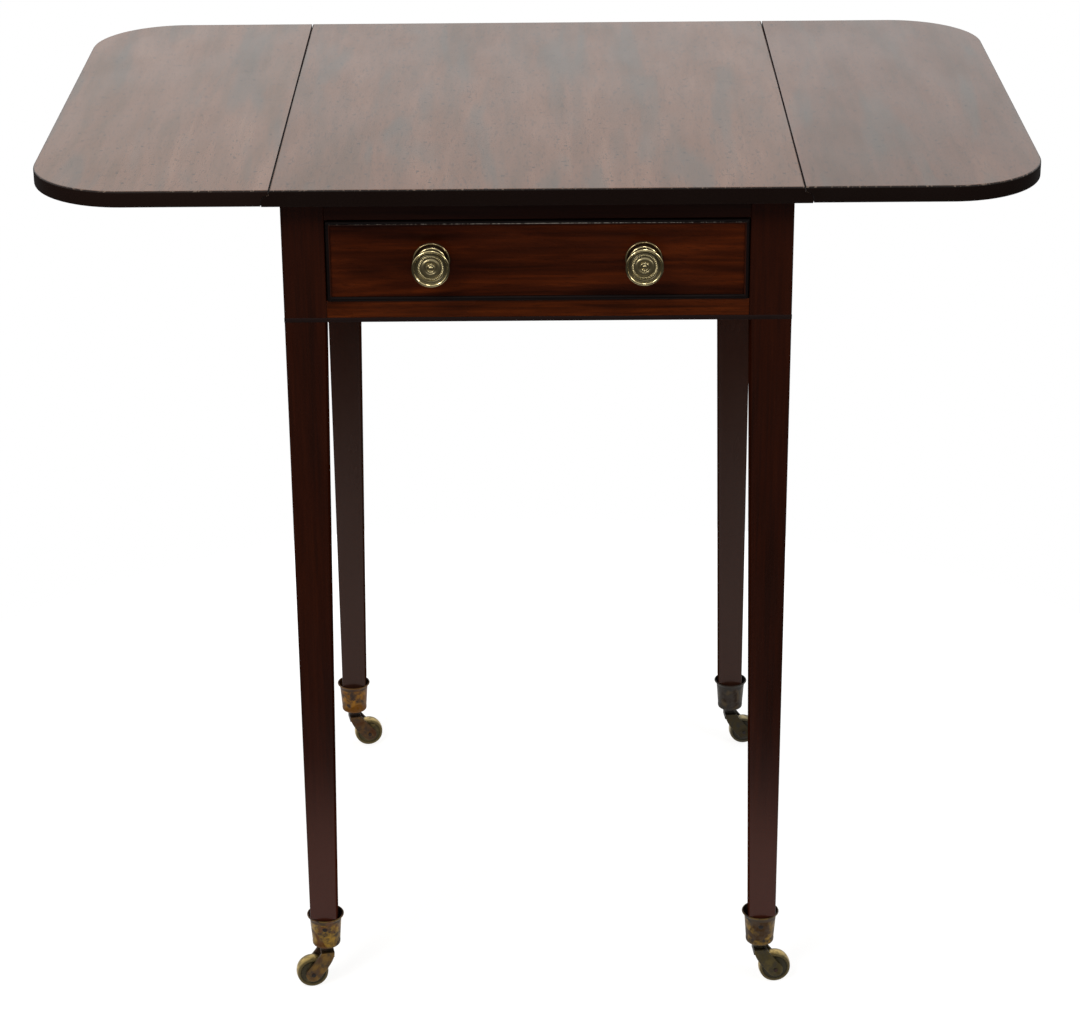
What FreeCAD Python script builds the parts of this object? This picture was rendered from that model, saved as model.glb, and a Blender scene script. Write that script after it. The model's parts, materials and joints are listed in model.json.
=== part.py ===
import FreeCAD, Part
import math
import os
import re
import Sketcher
from FreeCAD import Placement, Rotation, Vector

# Pembroke table: a fixed top with two drop leaves on rule joints, a frame on four tapered legs with a
# drawer at the front end, swinging brackets under the leaves, and brass cup casters.
# Frame: +X to the right, +Y to the back, +Z up, origin on the floor under the middle of the top.

DIMENSIONS = {
    # Top boards
    "table_height": 712,
    "top_thickness": 13,
    "top_depth": 494,
    "fixed_top_width": 402,
    "leaf_width": 187,
    "leaf_corner_radius": 75,
    "edge_easing": 1.5,
    # How far a cut runs past what it cuts
    "overrun": 1,
    # Rule joint
    "ovolo_radius": 6.5,
    "pin_height": 2.5,
    "joint_gap": 0.7,
    "cove_clearance": 0.4,
    # Leaf hinges
    "hinge_inset": 97,
    "hinge_width": 40,
    "fixed_flap_length": 26,
    "leaf_flap_length": 46,
    "flap_thickness": 1.8,
    "barrel_diameter": 4.6,
    "hinge_pin_diameter": 2,
    "hinge_bore_clearance": 0.03,
    "knuckle_gap": 0.3,
    "recess_gap": 0.3,
    # Wood screws
    "screw_head_diameter": 5.2,
    "screw_head_height": 1.6,
    "screw_shank_diameter": 2.6,
    "screw_hole_clearance": 0.06,
    "hinge_screw_length": 9,
    "hinge_screw_spread": 20,
    "fixed_screw_near": 7.8,
    "fixed_screw_far": 19.5,
    "leaf_screw_near": 18.4,
    "leaf_screw_far": 36.8,
    "top_screw_length": 25,
    "top_screw_spacing": 120,
    # Frame
    "side_overhang": 6,
    "end_overhang": 19,
    "frame_height": 99,
    "leg_width": 33,
    "leg_foot_width": 24,
    "top_rail_height": 17,
    "lower_rail_height": 17,
    "side_rail_thickness": 16,
    "back_rail_thickness": 22,
    "tenon_thickness": 7,
    "tenon_length": 18,
    "tenon_inset": 3.5,
    "side_tenon_height": 56,
    "lower_tenon_height": 11,
    "dovetail_length": 14,
    "dovetail_root_width": 9,
    "dovetail_tip_width": 13,
    "stringing_height": 3.5,
    "stringing_depth": 1,
    # Swinging brackets
    "bracket_thickness": 16,
    "bracket_back_gap": 0.3,
    "bracket_top_gap": 0.5,
    "bracket_axis_setback": 72,
    "bracket_length": 148,
    "bracket_root": 38,
    "bracket_cove_radius": 50,
    "bracket_nose_radius": 25,
    "bracket_edge_gap": 1.5,
    "wood_knuckle_gap": 0.3,
    "bracket_pin_diameter": 5,
    "bracket_pin_clearance": 0.04,
    # Drawer
    "drawer_side_gap": 0.8,
    "drawer_top_gap": 0.9,
    "drawer_float": 0.3,
    "drawer_rear_gap": 26,
    "drawer_front_thickness": 19,
    "drawer_side_thickness": 8,
    "drawer_back_thickness": 8,
    "drawer_side_drop": 3,
    "drawer_bottom_thickness": 5,
    "drawer_bottom_rise": 4,
    "drawer_groove_depth": 3.5,
    "drawer_tail_length": 8,
    "tail_splay": 1.5,
    "tail_pin_width": 5.2,
    "tail_count": 3,
    "runner_width": 18,
    "bead_width": 3.4,
    "bead_depth": 9,
    "bead_projection": 1.6,
    "bead_rounding": 1.2,
    # Knobs
    "knob_spacing": 162,
    "knob_diameter": 29.4,
    "knob_projection": 21,
    "knob_rim_width": 2.2,
    "knob_head_height": 6,
    "knob_ring_diameter": 18,
    "knob_ring_width": 2.4,
    "knob_ring_height": 0.9,
    "knob_boss_diameter": 9,
    "knob_boss_height": 1.1,
    "knob_recess_depth": 1.4,
    "knob_neck_diameter": 9,
    "knob_collar_diameter": 18.6,
    "knob_collar_height": 2,
    "knob_shank_diameter": 5,
    "knob_shank_spare": 7,
    "knob_hole_clearance": 0.1,
    "rose_diameter": 28.6,
    "rose_thickness": 2.2,
    "rose_edge": 1,
    "nut_width": 10,
    "nut_thickness": 4,
    # Casters
    "cup_rim_height": 68,
    "cup_height": 29,
    "cup_rim_diameter": 31,
    "cup_top_diameter": 26.4,
    "cup_foot_diameter": 23,
    "cup_wall": 1.6,
    "cup_floor": 3,
    "cup_flare_height": 5,
    "cup_lip": 1.4,
    "cup_foot_rounding": 1.8,
    "spigot_clearance": 0.12,
    "foot_paring_slope": 0.7,
    "spindle_diameter": 6,
    "spindle_head_diameter": 9,
    "spindle_head_height": 2.5,
    "spindle_clearance": 0.06,
    "swivel_gap": 0.4,
    "horn_neck_diameter": 11,
    "horn_neck_height": 5,
    "horn_boss_radius": 6.5,
    "horn_back_bow": 3,
    "horn_front_bow": 6,
    "fork_width": 18.5,
    "wheel_diameter": 27,
    "wheel_width": 11.5,
    "wheel_crown": 0.8,
    "wheel_hub_diameter": 10,
    "wheel_web_sink": 1,
    "wheel_rim_width": 2.4,
    "wheel_gap": 0.5,
    "caster_trail": 13,
    "axle_diameter": 3.4,
    "axle_clearance": 0.05,
    "axle_overhang": 0.6,
    "heading_front_left": 191,
    "heading_front_right": 5,
    "heading_back_left": 12,
    "heading_back_right": 5,
}

# Levels and faces that many pieces share
UNDERSIDE = "(table_height - top_thickness)"
BELOW = f"({UNDERSIDE} - overrun)"
FRAME_BASE = "(table_height - top_thickness - frame_height)"
SIDE_FACE = "(fixed_top_width / 2 - side_overhang)"
END_FACE = "(top_depth / 2 - end_overhang)"
LEG_INSIDE_X = f"({SIDE_FACE} - leg_width)"
LEG_INSIDE_Y = f"({END_FACE} - leg_width)"
JOINT_LINE = "(fixed_top_width / 2)"
PIN_LEVEL = f"({UNDERSIDE} + pin_height)"
COVE_RADIUS = "(ovolo_radius + cove_clearance)"
FLY_INSIDE = f"({SIDE_FACE} - bracket_thickness - bracket_back_gap)"
RAIL_INSIDE = f"({FLY_INSIDE} - side_rail_thickness)"
OPENING_BASE = f"({FRAME_BASE} + lower_rail_height)"
OPENING_TOP = f"({UNDERSIDE} - top_rail_height)"
DRAWER_SIDE = f"({LEG_INSIDE_X} - drawer_side_gap)"
DRAWER_BASE = f"({OPENING_BASE} + drawer_float)"
DRAWER_TOP = f"({OPENING_TOP} - drawer_top_gap)"
KNOB_LEVEL = f"(({OPENING_BASE} + {OPENING_TOP}) / 2)"
CUP_BASE = "(cup_rim_height - cup_height)"
LEG_AXIS_X = f"({SIDE_FACE} - leg_foot_width / 2)"
LEG_AXIS_Y = f"({END_FACE} - leg_foot_width / 2)"

doc = FreeCAD.newDocument("PembrokeTable")
sheet = doc.addObject("Spreadsheet::Sheet", "Dimensions")
for row, (alias, size) in enumerate(DIMENSIONS.items(), 1):
    sheet.set(f"A{row}", alias)
    sheet.set(f"B{row}", str(size))
    sheet.setAlias(f"B{row}", alias)
doc.recompute()

pieces = []


def bound(formula):
    """Formula with each size's name pointing at its cell in the sheet."""
    def cell(word):
        return f"Dimensions.{word[0]}" if word[0] in DIMENSIONS else word[0]
    return re.sub(r"[a-z_]+", cell, formula)


def measure(formula):
    """Present value of a formula, in millimetres."""
    return float(sheet.evalExpression(bound(formula)))


def bind(thing, **formulas):
    """Tie properties of an object to formulas."""
    for name, formula in formulas.items():
        thing.setExpression(name, bound(formula))
    return thing


def place(thing, x="0", y="0", z="0", turn=None):
    """Put an object at x, y, z, turned about an axis by a fixed angle."""
    if turn:
        thing.Placement = Placement(Vector(), Rotation(*turn))
    for axis, formula in zip("xyz", (x, y, z)):
        thing.setExpression(f"Placement.Base.{axis}", bound(formula))
    return thing


def keep(thing, label):
    """Mark an object as a finished piece of the table."""
    thing.Label = label
    pieces.append(thing)
    return thing


TURNS = {"X": (Vector(0, 1, 0), 90), "Y": (Vector(1, 0, 0), -90), "Z": None}


def block(name, x, y, z):
    """Box between two formulas along each axis."""
    box = doc.addObject("Part::Box", name)
    for size, (low, high) in zip(("Length", "Width", "Height"), (x, y, z)):
        box.setExpression(size, bound(f"({high}) - ({low})"))
    return place(box, x[0], y[0], z[0])


def rod(name, start, length, radius, axis):
    """Cylinder from a start point along an axis."""
    cylinder = doc.addObject("Part::Cylinder", name)
    bind(cylinder, Radius=radius, Height=length)
    return place(cylinder, *start, turn=TURNS[axis])


def fuse(name, *things):
    """Several solids joined in one."""
    joined = doc.addObject("Part::MultiFuse", name)
    joined.Shapes = list(things)
    joined.Refine = True
    return joined


def cut(name, base, *tools):
    """A solid with tools taken out of it."""
    tool = tools[0] if len(tools) == 1 else fuse(f"{name}_cuts", *tools)
    result = doc.addObject("Part::Cut", name)
    result.Base = base
    result.Tool = tool
    result.Refine = True
    return result


def common(name, first, second):
    """What two solids share."""
    result = doc.addObject("Part::Common", name)
    result.Base = first
    result.Tool = second
    result.Refine = True
    return result


def group(name, *things):
    """Separate solids kept together."""
    compound = doc.addObject("Part::Compound", name)
    compound.Links = list(things)
    return compound


def mirror(name, source, normal):
    """A solid's mirror image across a plane through the origin."""
    image = doc.addObject("Part::Mirroring", name)
    image.Source = source
    image.Base = Vector()
    image.Normal = normal
    return image


ACROSS = Vector(1, 0, 0)
ENDWAYS = Vector(0, 1, 0)


def arc_between(start, end, radius, turn):
    """Short arc from start to end, turning left or right, counted anticlockwise."""
    chord = end - start
    rise = math.sqrt(max(radius ** 2 - chord.Length ** 2 / 4, 0))
    side = Vector(-chord.y, chord.x, 0).normalize() * rise
    centre = (start + end) / 2 + (side if turn == "left" else -side)
    first, last = (start, end) if turn == "left" else (end, start)
    angles = [math.atan2(point.y - centre.y, point.x - centre.x) for point in (first, last)]
    return Part.ArcOfCircle(Part.Circle(centre, Vector(0, 0, 1), radius), *angles)


def bowed(start, end, bow):
    """Radius of the arc between two points that stands off their chord by a bow."""
    chord = " + ".join(f"(({last}) - ({first})) ^ 2" for first, last in zip(start, end))
    return f"(({chord}) / (8 * {bow}) + {bow} / 2)"


def outline(body, name, plane, steps, offset="0"):
    """Closed outline in one of a body's planes.

    Each step is a point (x, y) reached by a straight line, or (x, y, radius, turn) reached by an arc.
    Every point and radius is tied to its formula.
    """
    sketch = body.newObject("Sketcher::SketchObject", name)
    sketch.AttachmentSupport = [(next(o for o in body.Origin.OriginFeatures if o.Role == plane), "")]
    sketch.MapMode = "FlatFace"
    sketch.setExpression("AttachmentOffset.Base.z", bound(offset))
    points = [Vector(measure(step[0]), measure(step[1]), 0) for step in steps]
    heads = []
    for number, start in enumerate(points):
        step = steps[(number + 1) % len(steps)]
        end = points[(number + 1) % len(points)]
        if len(step) == 2:
            sketch.addGeometry(Part.LineSegment(start, end), False)
            heads.append((1, 2))
        else:
            sketch.addGeometry(arc_between(start, end, measure(step[2]), step[3]), False)
            heads.append((1, 2) if step[3] == "left" else (2, 1))
    for number, (_, tail) in enumerate(heads):
        following = (number + 1) % len(heads)
        sketch.addConstraint(Sketcher.Constraint("Coincident", number, tail, following, heads[following][0]))
    for number, (head, _) in enumerate(heads):
        for kind, formula, size in zip(("DistanceX", "DistanceY"), steps[number], points[number]):
            datum = sketch.addConstraint(Sketcher.Constraint(kind, -1, 1, number, head, size))
            sketch.setExpression(f"Constraints[{datum}]", bound(formula))
        step = steps[(number + 1) % len(steps)]
        if len(step) == 4:
            datum = sketch.addConstraint(Sketcher.Constraint("Radius", number, measure(step[2])))
            sketch.setExpression(f"Constraints[{datum}]", bound(step[2]))
    return sketch


def padded(name, plane, steps, length, offset="0", both_ways=False):
    """Body with one outline carried straight, to one side of its plane or evenly to both."""
    body = doc.addObject("PartDesign::Body", name)
    sketch = outline(body, f"{name}_outline", plane, steps, offset)
    pad = body.newObject("PartDesign::Pad", f"{name}_pad")
    pad.Profile = sketch
    pad.Midplane = both_ways
    bind(pad, Length=length)
    return body


def turned(name, steps):
    """Body turned about the vertical axis from a half outline in x and z."""
    body = doc.addObject("PartDesign::Body", name)
    sketch = outline(body, f"{name}_outline", "XZ_Plane", steps)
    turning = body.newObject("PartDesign::Revolution", f"{name}_turning")
    turning.Profile = sketch
    turning.ReferenceAxis = (sketch, ["V_Axis"])
    turning.Angle = 360
    return body


def eased(body, name, radius, wanted):
    """Round the edges of a body's last feature that a test on their points picks out."""
    doc.recompute()
    last = body.Tip
    chosen = []
    for number, edge in enumerate(last.Shape.Edges, 1):
        if wanted([edge.valueAt(share) for share in (edge.FirstParameter, edge.LastParameter)]):
            chosen.append(f"Edge{number}")
    fillet = body.newObject("PartDesign::Fillet", name)
    fillet.Base = (last, chosen)
    bind(fillet, Radius=radius)
    return body


def near(first, second):
    """Whether two sizes are the same within a micrometre."""
    return abs(first - second) < 1e-3


def screw(name, x, y, head_level, length):
    """Countersunk wood screw pointing up, with the hole that takes it."""
    solids = []
    for kind, spare in (("screw", "0"), ("hole", "screw_hole_clearance")):
        head = doc.addObject("Part::Cone", f"{name}_{kind}_head")
        bind(head, Radius1=f"screw_head_diameter / 2 + {spare}",
             Radius2=f"screw_shank_diameter / 2 + {spare}", Height="screw_head_height")
        place(head, x, y, head_level)
        shank = rod(f"{name}_{kind}_shank", (x, y, head_level), f"{length} + {spare}",
                    f"screw_shank_diameter / 2 + {spare}", "Z")
        solids.append(fuse(f"{name}_{kind}", head, shank))
    return solids


def build_boards():
    """Fixed top with its ovolo edges, and the right leaf with the matching cove."""
    half_depth = "(top_depth / 2)"
    reach = f"({JOINT_LINE} + sqrt(ovolo_radius ^ 2 - pin_height ^ 2))"
    arc_top = f"({PIN_LEVEL} + ovolo_radius)"
    board = padded("fixed_board", "XZ_Plane", [
        (f"-{JOINT_LINE}", "table_height"),
        (JOINT_LINE, "table_height"),
        (JOINT_LINE, arc_top),
        (reach, UNDERSIDE, "ovolo_radius", "right"),
        (f"-{reach}", UNDERSIDE),
        (f"-{JOINT_LINE}", arc_top, "ovolo_radius", "right"),
    ], "top_depth", both_ways=True)
    top_level, end_level = measure("table_height"), measure(half_depth)
    eased(board, "fixed_board_easing", "edge_easing", lambda ends: all(
        near(p.z, top_level) and near(abs(p.y), end_level) for p in ends))

    outer = f"({JOINT_LINE} + leaf_width)"
    bend = f"({outer} - leaf_corner_radius)"
    inner = f"({JOINT_LINE} + joint_gap)"
    leaf = padded("leaf_board", "XY_Plane", [
        (inner, f"-{half_depth}"),
        (bend, f"-{half_depth}"),
        (outer, f"-{half_depth} + leaf_corner_radius", "leaf_corner_radius", "left"),
        (outer, f"{half_depth} - leaf_corner_radius"),
        (bend, half_depth, "leaf_corner_radius", "left"),
        (inner, half_depth),
    ], "top_thickness", offset=UNDERSIDE)
    inner_level = measure(inner)
    eased(leaf, "leaf_easing", "edge_easing", lambda ends: near(ends[0].z, ends[1].z) and not all(
        near(p.x, inner_level) for p in ends))
    past_ends = (f"-{half_depth} - overrun", f"{half_depth} + overrun")
    cove = fuse("leaf_cove",
                rod("leaf_cove_round", (JOINT_LINE, past_ends[0], PIN_LEVEL), "top_depth + 2 * overrun",
                    COVE_RADIUS, "Y"),
                block("leaf_cove_foot", (JOINT_LINE, f"{JOINT_LINE} + {COVE_RADIUS}"), past_ends,
                      (BELOW, PIN_LEVEL)))
    return board, cut("leaf_coved", leaf, cove)


def hinge_screws(end, middle):
    """Screws of one hinge's two flaps, and their holes."""
    row = [f"{middle} - hinge_screw_spread / 2", f"{middle} + hinge_screw_spread / 2"]
    made = {}
    for flap, sign in (("fixed", "-"), ("leaf", "+")):
        spots = [(f"{JOINT_LINE} {sign} {flap}_screw_near", y) for y in row]
        spots.append((f"{JOINT_LINE} {sign} {flap}_screw_far", middle))
        made[flap] = [screw(f"{end}_{flap}_{number}", *spot, UNDERSIDE, "hinge_screw_length")
                      for number, spot in enumerate(spots, 1)]
    return made


def hinge(end, middle):
    """Hinge of the right leaf: its solids, and what is cut out of the boards for it."""
    barrel = "(barrel_diameter / 2)"
    room = f"({barrel} + recess_gap)"
    half, sixth = "(hinge_width / 2)", "(hinge_width / 6)"
    flap_top = f"({UNDERSIDE} + flap_thickness)"
    flap_level = (UNDERSIDE, flap_top)
    span = (f"{middle} - {half}", f"{middle} + {half}")
    wide = (f"{middle} - {half} - recess_gap", f"{middle} + {half} + recess_gap")
    round_pin = (f"{JOINT_LINE} - {room}", f"{JOINT_LINE} + {room}")
    groove = (BELOW, f"{PIN_LEVEL} + {room}")
    low, high = f"{middle} - {sixth}", f"{middle} + {sixth}"
    screws = hinge_screws(end, middle)
    holes = {flap: [hole for _, hole in pairs] for flap, pairs in screws.items()}
    bore = rod(f"{end}_hinge_bore", (JOINT_LINE, f"{span[0]} - overrun", PIN_LEVEL),
               "hinge_width + 2 * overrun", "hinge_pin_diameter / 2 + hinge_bore_clearance", "Y")

    def flap(name, reach, notches):
        """Plate with its share of the barrel."""
        blank = fuse(f"{end}_{name}_flap_blank",
                     block(f"{end}_{name}_flap_plate", reach, span, flap_level),
                     rod(f"{end}_{name}_barrel", (JOINT_LINE, span[0], PIN_LEVEL), "hinge_width",
                         barrel, "Y"))
        gaps = [block(f"{end}_{name}_notch_{number}", round_pin, notch, groove)
                for number, notch in enumerate(notches, 1)]
        return cut(f"{end}_{name}_flap", blank, *gaps, bore, *holes[name])

    solids = {
        "hinge_fixed_flaps": [flap("fixed", (f"{JOINT_LINE} - fixed_flap_length", JOINT_LINE),
                                   [(f"{low} - knuckle_gap / 2", f"{high} + knuckle_gap / 2")])],
        "hinge_leaf_flaps": [flap("leaf", (JOINT_LINE, f"{JOINT_LINE} + leaf_flap_length"),
                                  [(f"{span[0]} - overrun", f"{low} + knuckle_gap / 2"),
                                   (f"{high} - knuckle_gap / 2", f"{span[1]} + overrun")])],
        "hinge_pins": [rod(f"{end}_hinge_pin", (JOINT_LINE, span[0], PIN_LEVEL), "hinge_width",
                           "hinge_pin_diameter / 2", "Y")],
        "hinge_fixed_screws": [solid for solid, _ in screws["fixed"]],
        "hinge_leaf_screws": [solid for solid, _ in screws["leaf"]],
    }
    board_cuts = [
        block(f"{end}_flap_recess", (f"{JOINT_LINE} - fixed_flap_length - recess_gap", JOINT_LINE), wide,
              (BELOW, flap_top)),
        block(f"{end}_flap_passage", (JOINT_LINE, f"{JOINT_LINE} + ovolo_radius + overrun"), wide,
              (BELOW, f"{flap_top} + recess_gap")),
        block(f"{end}_barrel_groove", round_pin, wide, groove),
        *holes["fixed"]]
    leaf_cuts = [
        block(f"{end}_leaf_recess", (JOINT_LINE, f"{JOINT_LINE} + leaf_flap_length + recess_gap"), wide,
              (BELOW, flap_top)),
        *holes["leaf"]]
    return solids, board_cuts, leaf_cuts


def build_top():
    """Fixed top, leaves, and the hinges let into their undersides."""
    board, leaf = build_boards()
    hinges = [hinge("front", "(hinge_inset - top_depth / 2)"), hinge("back", "(top_depth / 2 - hinge_inset)")]
    solids = {label: [solid for made, _, _ in hinges for solid in made[label]] for label in hinges[0][0]}
    leaf_cuts = [tool for _, _, cuts in hinges for tool in cuts]
    right_leaf = keep(cut("right_leaf", leaf, *leaf_cuts), "right_leaf")
    keep(mirror("left_leaf", right_leaf, ACROSS), "left_leaf")
    for label in ("hinge_leaf_flaps", "hinge_leaf_screws"):
        right = keep(group(f"right_{label}", *solids[label]), f"right_{label}")
        keep(mirror(f"left_{label}", right, ACROSS), f"left_{label}")
    for label in ("hinge_fixed_flaps", "hinge_pins", "hinge_fixed_screws"):
        right = group(f"{label}_right", *solids[label])
        keep(group(label, right, mirror(f"{label}_left", right, ACROSS)), label)
    recesses = fuse("fixed_board_recesses", *[tool for _, cuts, _ in hinges for tool in cuts])
    return cut("fixed_board_hinged", board, recesses, mirror("fixed_board_recesses_left", recesses, ACROSS))


def strip(name, low, high):
    """One mitred strip of a cock bead between two corners of its outer edge."""
    body = padded(name, "XZ_Plane", [*low, *high], "bead_depth + bead_projection",
                  offset=f"{END_FACE} - (bead_depth - bead_projection) / 2", both_ways=True)
    face = measure(f"-{END_FACE} - bead_projection")
    outer = [Vector(measure(x), face, measure(z)) for x, z in low]
    inner = [Vector(measure(x), face, measure(z)) for x, z in high]

    def along(ends):
        return any(all(any(end.isEqual(corner, 1e-3) for corner in line) for end in ends)
                   for line in (outer, inner))
    return eased(body, f"{name}_rounding", "bead_rounding", along)


def build_bead():
    """Cock bead round the drawer: four strips with mitred corners."""
    left, right = f"-{DRAWER_SIDE}", DRAWER_SIDE
    low, high = DRAWER_BASE, DRAWER_TOP
    in_left, in_right = f"{left} + bead_width", f"{right} - bead_width"
    in_low, in_high = f"{low} + bead_width", f"{high} - bead_width"
    return group("bead_strips",
                 strip("bead_top", [(left, high), (right, high)], [(in_right, in_high), (in_left, in_high)]),
                 strip("bead_bottom", [(left, low), (right, low)], [(in_right, in_low), (in_left, in_low)]),
                 strip("bead_left", [(left, low), (left, high)], [(in_left, in_high), (in_left, in_low)]),
                 strip("bead_right", [(right, low), (right, high)],
                       [(in_right, in_high), (in_right, in_low)]))


def build_knob():
    """Turned knob standing on its rose, pointing up, with the rose and the nut."""
    rim = "(knob_diameter / 2)"
    face = "knob_projection"
    sunk = "(knob_projection - knob_recess_depth)"
    ring_out = "(knob_ring_diameter / 2)"
    ring_in = "(knob_ring_diameter / 2 - knob_ring_width)"
    back = "(knob_projection - knob_head_height)"
    shank = "(knob_shank_diameter / 2)"
    collar = "(knob_collar_diameter / 2)"
    collar_top = "(rose_thickness + knob_collar_height)"
    nose = "(knob_rim_width / 2)"
    boss, boss_top = "(knob_boss_diameter / 2)", f"({sunk} + knob_boss_height)"
    knob = turned("knob", [
        ("0", "-(drawer_front_thickness + knob_shank_spare)"),
        (shank, "-(drawer_front_thickness + knob_shank_spare)"),
        (shank, "rose_thickness"),
        (collar, "rose_thickness"),
        (collar, collar_top),
        ("knob_neck_diameter / 2", f"{collar_top} + {collar} - knob_neck_diameter / 2",
         f"{collar} - knob_neck_diameter / 2", "right"),
        ("knob_neck_diameter / 2", back),
        (f"{rim} - knob_rim_width", f"{back} + knob_head_height / 2"),
        (f"{rim} - knob_rim_width / 2", f"{face} - knob_rim_width"),
        (rim, f"{face} - {nose}", "knob_rim_width", "left"),
        (f"{rim} - {nose}", face, nose, "left"),
        (f"{rim} - knob_rim_width", f"{face} - {nose}", nose, "left"),
        (f"{rim} - knob_rim_width", sunk),
        (ring_out, sunk),
        (ring_in, sunk, bowed((ring_out, sunk), (ring_in, sunk), "knob_ring_height"), "left"),
        (boss, sunk),
        ("0", boss_top, bowed((f"-{boss}", "0"), (boss, "0"), "knob_boss_height"), "left"),
    ])
    rose = turned("rose", [
        (f"{shank} + knob_hole_clearance", "0"),
        ("rose_diameter / 2", "0"),
        ("rose_diameter / 2", "rose_thickness - rose_edge"),
        ("rose_diameter / 2 - rose_edge", "rose_thickness", "rose_edge", "left"),
        (f"{shank} + knob_hole_clearance", "rose_thickness"),
    ])
    blank = doc.addObject("Part::Prism", "nut_blank")
    blank.Polygon = 6
    bind(blank, Circumradius="nut_width / sqrt(3)", Height="nut_thickness")
    place(blank, z="-(drawer_front_thickness + nut_thickness)")
    nut = cut("nut", blank, rod("nut_bore", ("0", "0", "-(drawer_front_thickness + nut_thickness + overrun)"),
                                "nut_thickness + 2 * overrun", f"{shank} + knob_hole_clearance", "Z"))
    through = "(drawer_front_thickness + back_rail_thickness)"
    hole = rod("knob_hole", ("0", "0", f"-{through}"), f"{through} + overrun",
               f"{shank} + knob_hole_clearance", "Z")
    return knob, rose, nut, hole


def pair_of(name, source):
    """The same thing at both knob places on the front face."""
    spots = [place(group(f"{name}_{side}", source), x, f"-{END_FACE}", KNOB_LEVEL, (Vector(1, 0, 0), 90))
             for side, x in (("left", "-knob_spacing / 2"), ("right", "knob_spacing / 2"))]
    return group(name, *spots)


def build_drawer(bead, fittings):
    """Dovetailed drawer box with its cock bead and knobs."""
    knobs, roses, nuts, holes = fittings
    front_inside = f"(-{END_FACE} + drawer_front_thickness)"
    rear = f"({END_FACE} - back_rail_thickness - drawer_rear_gap)"
    rear_inside = f"({rear} - drawer_back_thickness)"
    side_top = f"({DRAWER_TOP} - drawer_side_drop)"
    panel_base = f"({DRAWER_BASE} + drawer_bottom_rise)"
    panel_top = f"({panel_base} + drawer_bottom_thickness)"
    tail_pitch = f"(({side_top} - {panel_top}) / tail_count)"
    tip_half = f"({tail_pitch} - tail_pin_width) / 2"
    root_half = f"({tip_half} - tail_splay)"

    def tails(shoulder, tip, upward):
        """Outline points of a row of tails, from the lowest up or from the highest down."""
        points = []
        numbers = range(round(measure("tail_count")))
        for number in numbers if upward else reversed(numbers):
            middle = f"({panel_top} + {tail_pitch} * {number + 0.5})"
            sides = [(shoulder, f"{middle} - {root_half}"), (tip, f"{middle} - {tip_half}"),
                     (tip, f"{middle} + {tip_half}"), (shoulder, f"{middle} + {root_half}")]
            points.extend(sides if upward else reversed(sides))
        return points

    board = padded("drawer_side_board", "YZ_Plane", [
        (front_inside, DRAWER_BASE),
        (rear_inside, DRAWER_BASE),
        *tails(rear_inside, rear, upward=True),
        (rear_inside, side_top),
        (front_inside, side_top),
        *tails(front_inside, f"{front_inside} - drawer_tail_length", upward=False),
    ], "drawer_side_thickness", offset=f"{DRAWER_SIDE} - drawer_side_thickness")
    groove = f"({DRAWER_SIDE} - drawer_side_thickness + drawer_groove_depth)"
    panel = block("drawer_panel", (f"-{groove}", groove), (f"{front_inside} - drawer_groove_depth", rear),
                  (panel_base, panel_top))
    keep(panel, "drawer_bottom")
    right = keep(cut("drawer_right_side", board, panel), "drawer_right_side")
    left = keep(mirror("drawer_left_side", right, ACROSS), "drawer_left_side")
    back = block("drawer_back_board", (f"-{DRAWER_SIDE}", DRAWER_SIDE), (rear_inside, rear),
                 (panel_top, side_top))
    keep(cut("drawer_back", back, left, right), "drawer_back")
    front = block("drawer_front_board", (f"-{DRAWER_SIDE}", DRAWER_SIDE), (f"-{END_FACE}", front_inside),
                  (DRAWER_BASE, DRAWER_TOP))
    keep(cut("drawer_front", front, left, right, panel, holes, *bead.Links), "drawer_front")
    keep(group("drawer_cock_bead", bead), "drawer_cock_bead")
    for label, things in (("drawer_knobs", knobs), ("drawer_knob_roses", roses), ("drawer_knob_nuts", nuts)):
        keep(group(label, things), label)


def build_dummy(bead, fittings):
    """Cock bead and knobs of the dummy drawer, the back end's mirror of the front."""
    knobs, roses, nuts, holes = (mirror(f"dummy_{name}", thing, ENDWAYS)
                                 for name, thing in zip(KNOB_PARTS, fittings))
    keep(knobs, "dummy_knobs")
    keep(roses, "dummy_knob_roses")
    deeper = place(group("dummy_nuts_seated", nuts), y="drawer_front_thickness - back_rail_thickness")
    keep(deeper, "dummy_knob_nuts")
    strips = [mirror(f"dummy_{piece.Name}", piece, ENDWAYS) for piece in bead.Links]
    keep(group("dummy_cock_bead", *strips), "dummy_cock_bead")
    return [holes, *strips]


def build_stringing():
    """Dark strips let into the legs and the end rails along the bottom of the frieze."""
    level = (FRAME_BASE, f"{FRAME_BASE} + stringing_height")
    corner = fuse("stringing_corner",
                  block("stringing_end", (LEG_INSIDE_X, SIDE_FACE),
                        (f"-{END_FACE}", f"-{END_FACE} + stringing_depth"), level),
                  block("stringing_side", (f"{SIDE_FACE} - stringing_depth", SIDE_FACE),
                        (f"-{END_FACE}", f"-{LEG_INSIDE_Y}"), level))
    rail = block("stringing_rail", (f"-{LEG_INSIDE_X}", LEG_INSIDE_X),
                 (f"-{END_FACE}", f"-{END_FACE} + stringing_depth"), level)
    left = mirror("stringing_corner_left", corner, ACROSS)
    front = [corner, left, rail]
    back = [mirror(f"{piece.Name}_back", piece, ENDWAYS) for piece in front]
    keep(group("frame_stringing", *front, *back), "frame_stringing")
    return corner, back[0], rail, back[2]


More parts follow.
